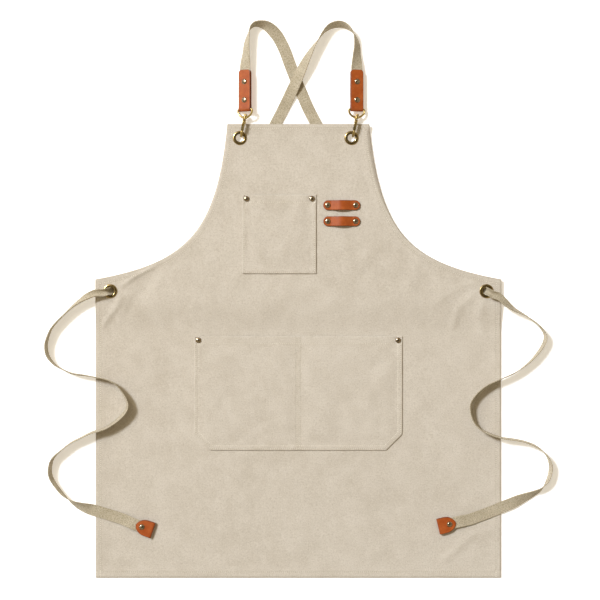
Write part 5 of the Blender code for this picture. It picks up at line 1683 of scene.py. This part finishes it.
def strap_rows(side):
    """Rows below and above the grommet, and the webbing's direction through it."""
    other = OPPOSITE[side]
    start = Vector((EYE_X[side], COLLAR_Y + EYE_HEIGHT, 0))
    shoulder = [
        (start.x, start.y + far, HOOK_Z, ROLL[side], 0.0, 0.5)
        for far in (9 * MM, 30 * MM, 50 * MM, STUB_END)
    ]
    start.y += STUB_END
    shoulder += [
        (start.x + x * MM, start.y + y * MM, z * MM, roll, 0.0, 0.5)
        for x, y, z, roll in SHOULDER_ROUTE[side]
    ]
    grommet = middle(f"waist_grommet_{other}_eyelet")
    turn = shoulder[-1][3]
    tie = [
        (grommet.x + x * MM, grommet.y + y * MM, z * MM, turn + roll)
        for x, y, z, roll in TIE_ROUTE[other]
    ]
    facing = -1 if abs(turn) > 90 else 1
    curls = [2.9, 2.3, 1.3, 0.5, 0.2] + [0.0] * len(tie)
    tie = [(*row, facing * curl, 0.25) for row, curl in zip(tie, curls)]
    arriving = (grommet.xy - Vector(shoulder[-1][:2])).normalized()
    leaving = (Vector(tie[0][:2]) - grommet.xy).normalized()
    crown, foot = 10.3 * MM, 5.4 * MM
    low, high = foot - 2.3 * MM, crown + 2.6 * MM
    climb = [(-34, 1.1 * MM, 0.0, 0.5), (-24, 1.1 * MM, 0.2, 0.5), (-14, 1.7 * MM, 0.7, 0.5)]
    climb += [(-5.5, low, 1.6, 0.5), (0, (low + high) / 2, 3.5, 0.35)]
    climb += [(5.5, high, 3.5, 0.1), (13, high + 0.5 * MM, 3.3, 0.15)]
    climbing = []
    for along, z, curl, back in climb:
        spot = grommet.xy + (arriving if along < 0 else leaving) * along * MM
        climbing.append((*spot, z, turn, facing * curl, back))
    (x, y), heading = TIP_PLACE[other]
    back = -Vector((math.cos(math.radians(heading)), math.sin(math.radians(heading))))
    straight_end = grommet.xy + Vector((x, y)) * MM
    for inside in (1.2 * TIP_LENGTH, 0.8 * TIP_LENGTH, 4 * MM):
        tie.append((*(straight_end + back * inside), TIP_Z, turn, 0.0, 0.5))
    below = smooth_route(shoulder + climbing[:5], 2.6 * MM)
    above = smooth_route(climbing[4:] + tie, 2.6 * MM)
    through_bore = (Vector(climbing[5][:3]) - Vector(climbing[3][:3])).normalized()
    return below, above, through_bore, facing


def cut_rows(rows, low, high):
    """The rows between two lengths along them, with both ends kept in the neighbours."""
    far = np.concatenate([[0], np.cumsum(np.linalg.norm(np.diff(rows[:, :3], axis=0), axis=1))])
    first, last = np.searchsorted(far, low), np.searchsorted(far, high)
    return rows[first : last + 1], far[first], (rows[min(last + 1, len(rows) - 1)], rows[first - 1])


def lay_strap(side):
    """The shoulder's webbing in four pieces; gives the rows left over for the waist tie."""
    below, above, through_bore, facing = strap_rows(side)
    stub = STUB_END - 9 * MM
    ends = [0.0, stub + 44 * MM, stub + 66 * MM, stub + 112 * MM, 10.0]
    names = ["strap_end", "strap_twist", "strap_turn", "strap_run"]
    for i, name in enumerate(names):
        rows, starts, (after, before) = cut_rows(below, ends[i], ends[i + 1])
        first_along = Vector((0, 1, 0)) if i == 0 else Vector(rows[1][:3]) - Vector(before[:3])
        last_along = through_bore if i == 3 else Vector(after[:3]) - Vector(rows[-2][:3])
        made = webbing(f"{name}_{side}_webbing", rows, first_along, last_along, starts, facing)
        if i == 3:
            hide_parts(f"shoulder_strap_{side}")
            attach(made, "apron")
            continue
        first = Vector((EYE_X[side], COLLAR_Y + EYE_HEIGHT + STUB_END, HOOK_Z)) if i == 0 else None
        first = first or Vector(rows[0][:3])
        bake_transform(made)
        if i == 0:
            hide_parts(f"strap_end_{side}")
    return above, through_bore, facing


def make_tip(side):
    """The tie's end: leather folded over the webbing, cut round and held by one rivet."""
    leather, sharp = 1.6 * MM, 11 * MM
    layer = WEBBING / 2 + CLEARANCE + leather / 2

    def half(y):
        past = max(0.0, y - sharp) / (TIP_LENGTH - sharp)
        return max(13.75 * MM * (1 - past**2.2) ** 0.62, 1.2 * MM)

    shares = [1, 0.996, 0.985, 0.965, 0.94, 0.91, 0.87, 0.82, 0.76, 0.69, 0.61, 0.53, 0.45, 0.36]
    flat = [(TIP_LENGTH * s, layer) for s in shares]
    flat += [(TIP_LENGTH * s, layer + 0.12 * MM * math.sin(s * 9)) for s in (0.27, 0.19, 0.12)]
    turn = []
    for a in np.linspace(90, 270, 13):
        spot = math.radians(a)
        turn.append((layer + layer * math.cos(spot), layer * math.sin(spot)))
    path = flat + turn + [(y, -z) for y, z in flat[::-1]]
    stations = []
    for i, (y, z) in enumerate(path):
        end = min(i, len(path) - 1 - i)
        shade = max(0.0, 1 - end / 4) if end < 4 else 0.0
        fold = 0.25 if y < layer else 0.0
        stations.append(((0, y, z), (1, 0, 0), half(y), leather, max(shade, fold)))
    made = leather_strip(f"tie_tip_{side}_leather", stations, tip_place(side))
    declare(made, [f"tie_tip_{side}"], "apron")
    seat = tip_place(side) @ Vector((0, 19.5 * MM, layer + leather / 2 + 0.1 * MM))
    nodes, stack = [f"tie_tip_rivet_{side}"], 2 * layer + leather + 0.2 * MM
    return [made, rivets(f"tie_tip_{side}_rivets", nodes, [seat], stack, post=STOUT_POST)]


for strap_side in SIDES:
    tie_side = OPPOSITE[strap_side]
    tie_rows, bore_along, tie_facing = lay_strap(strap_side)
    free_tie = webbing(
        f"waist_tie_{tie_side}_webbing", tie_rows, first_along=bore_along, bowed=tie_facing
    )
    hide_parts(f"waist_tie_{tie_side}")
    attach(free_tie, "apron")
    make_tip(tie_side)


# Finishing: the patterns for stitches and rivets are put away.

for pattern in [ONE_STITCH, *rivet_forms]:
    bpy.data.objects.remove(pattern)
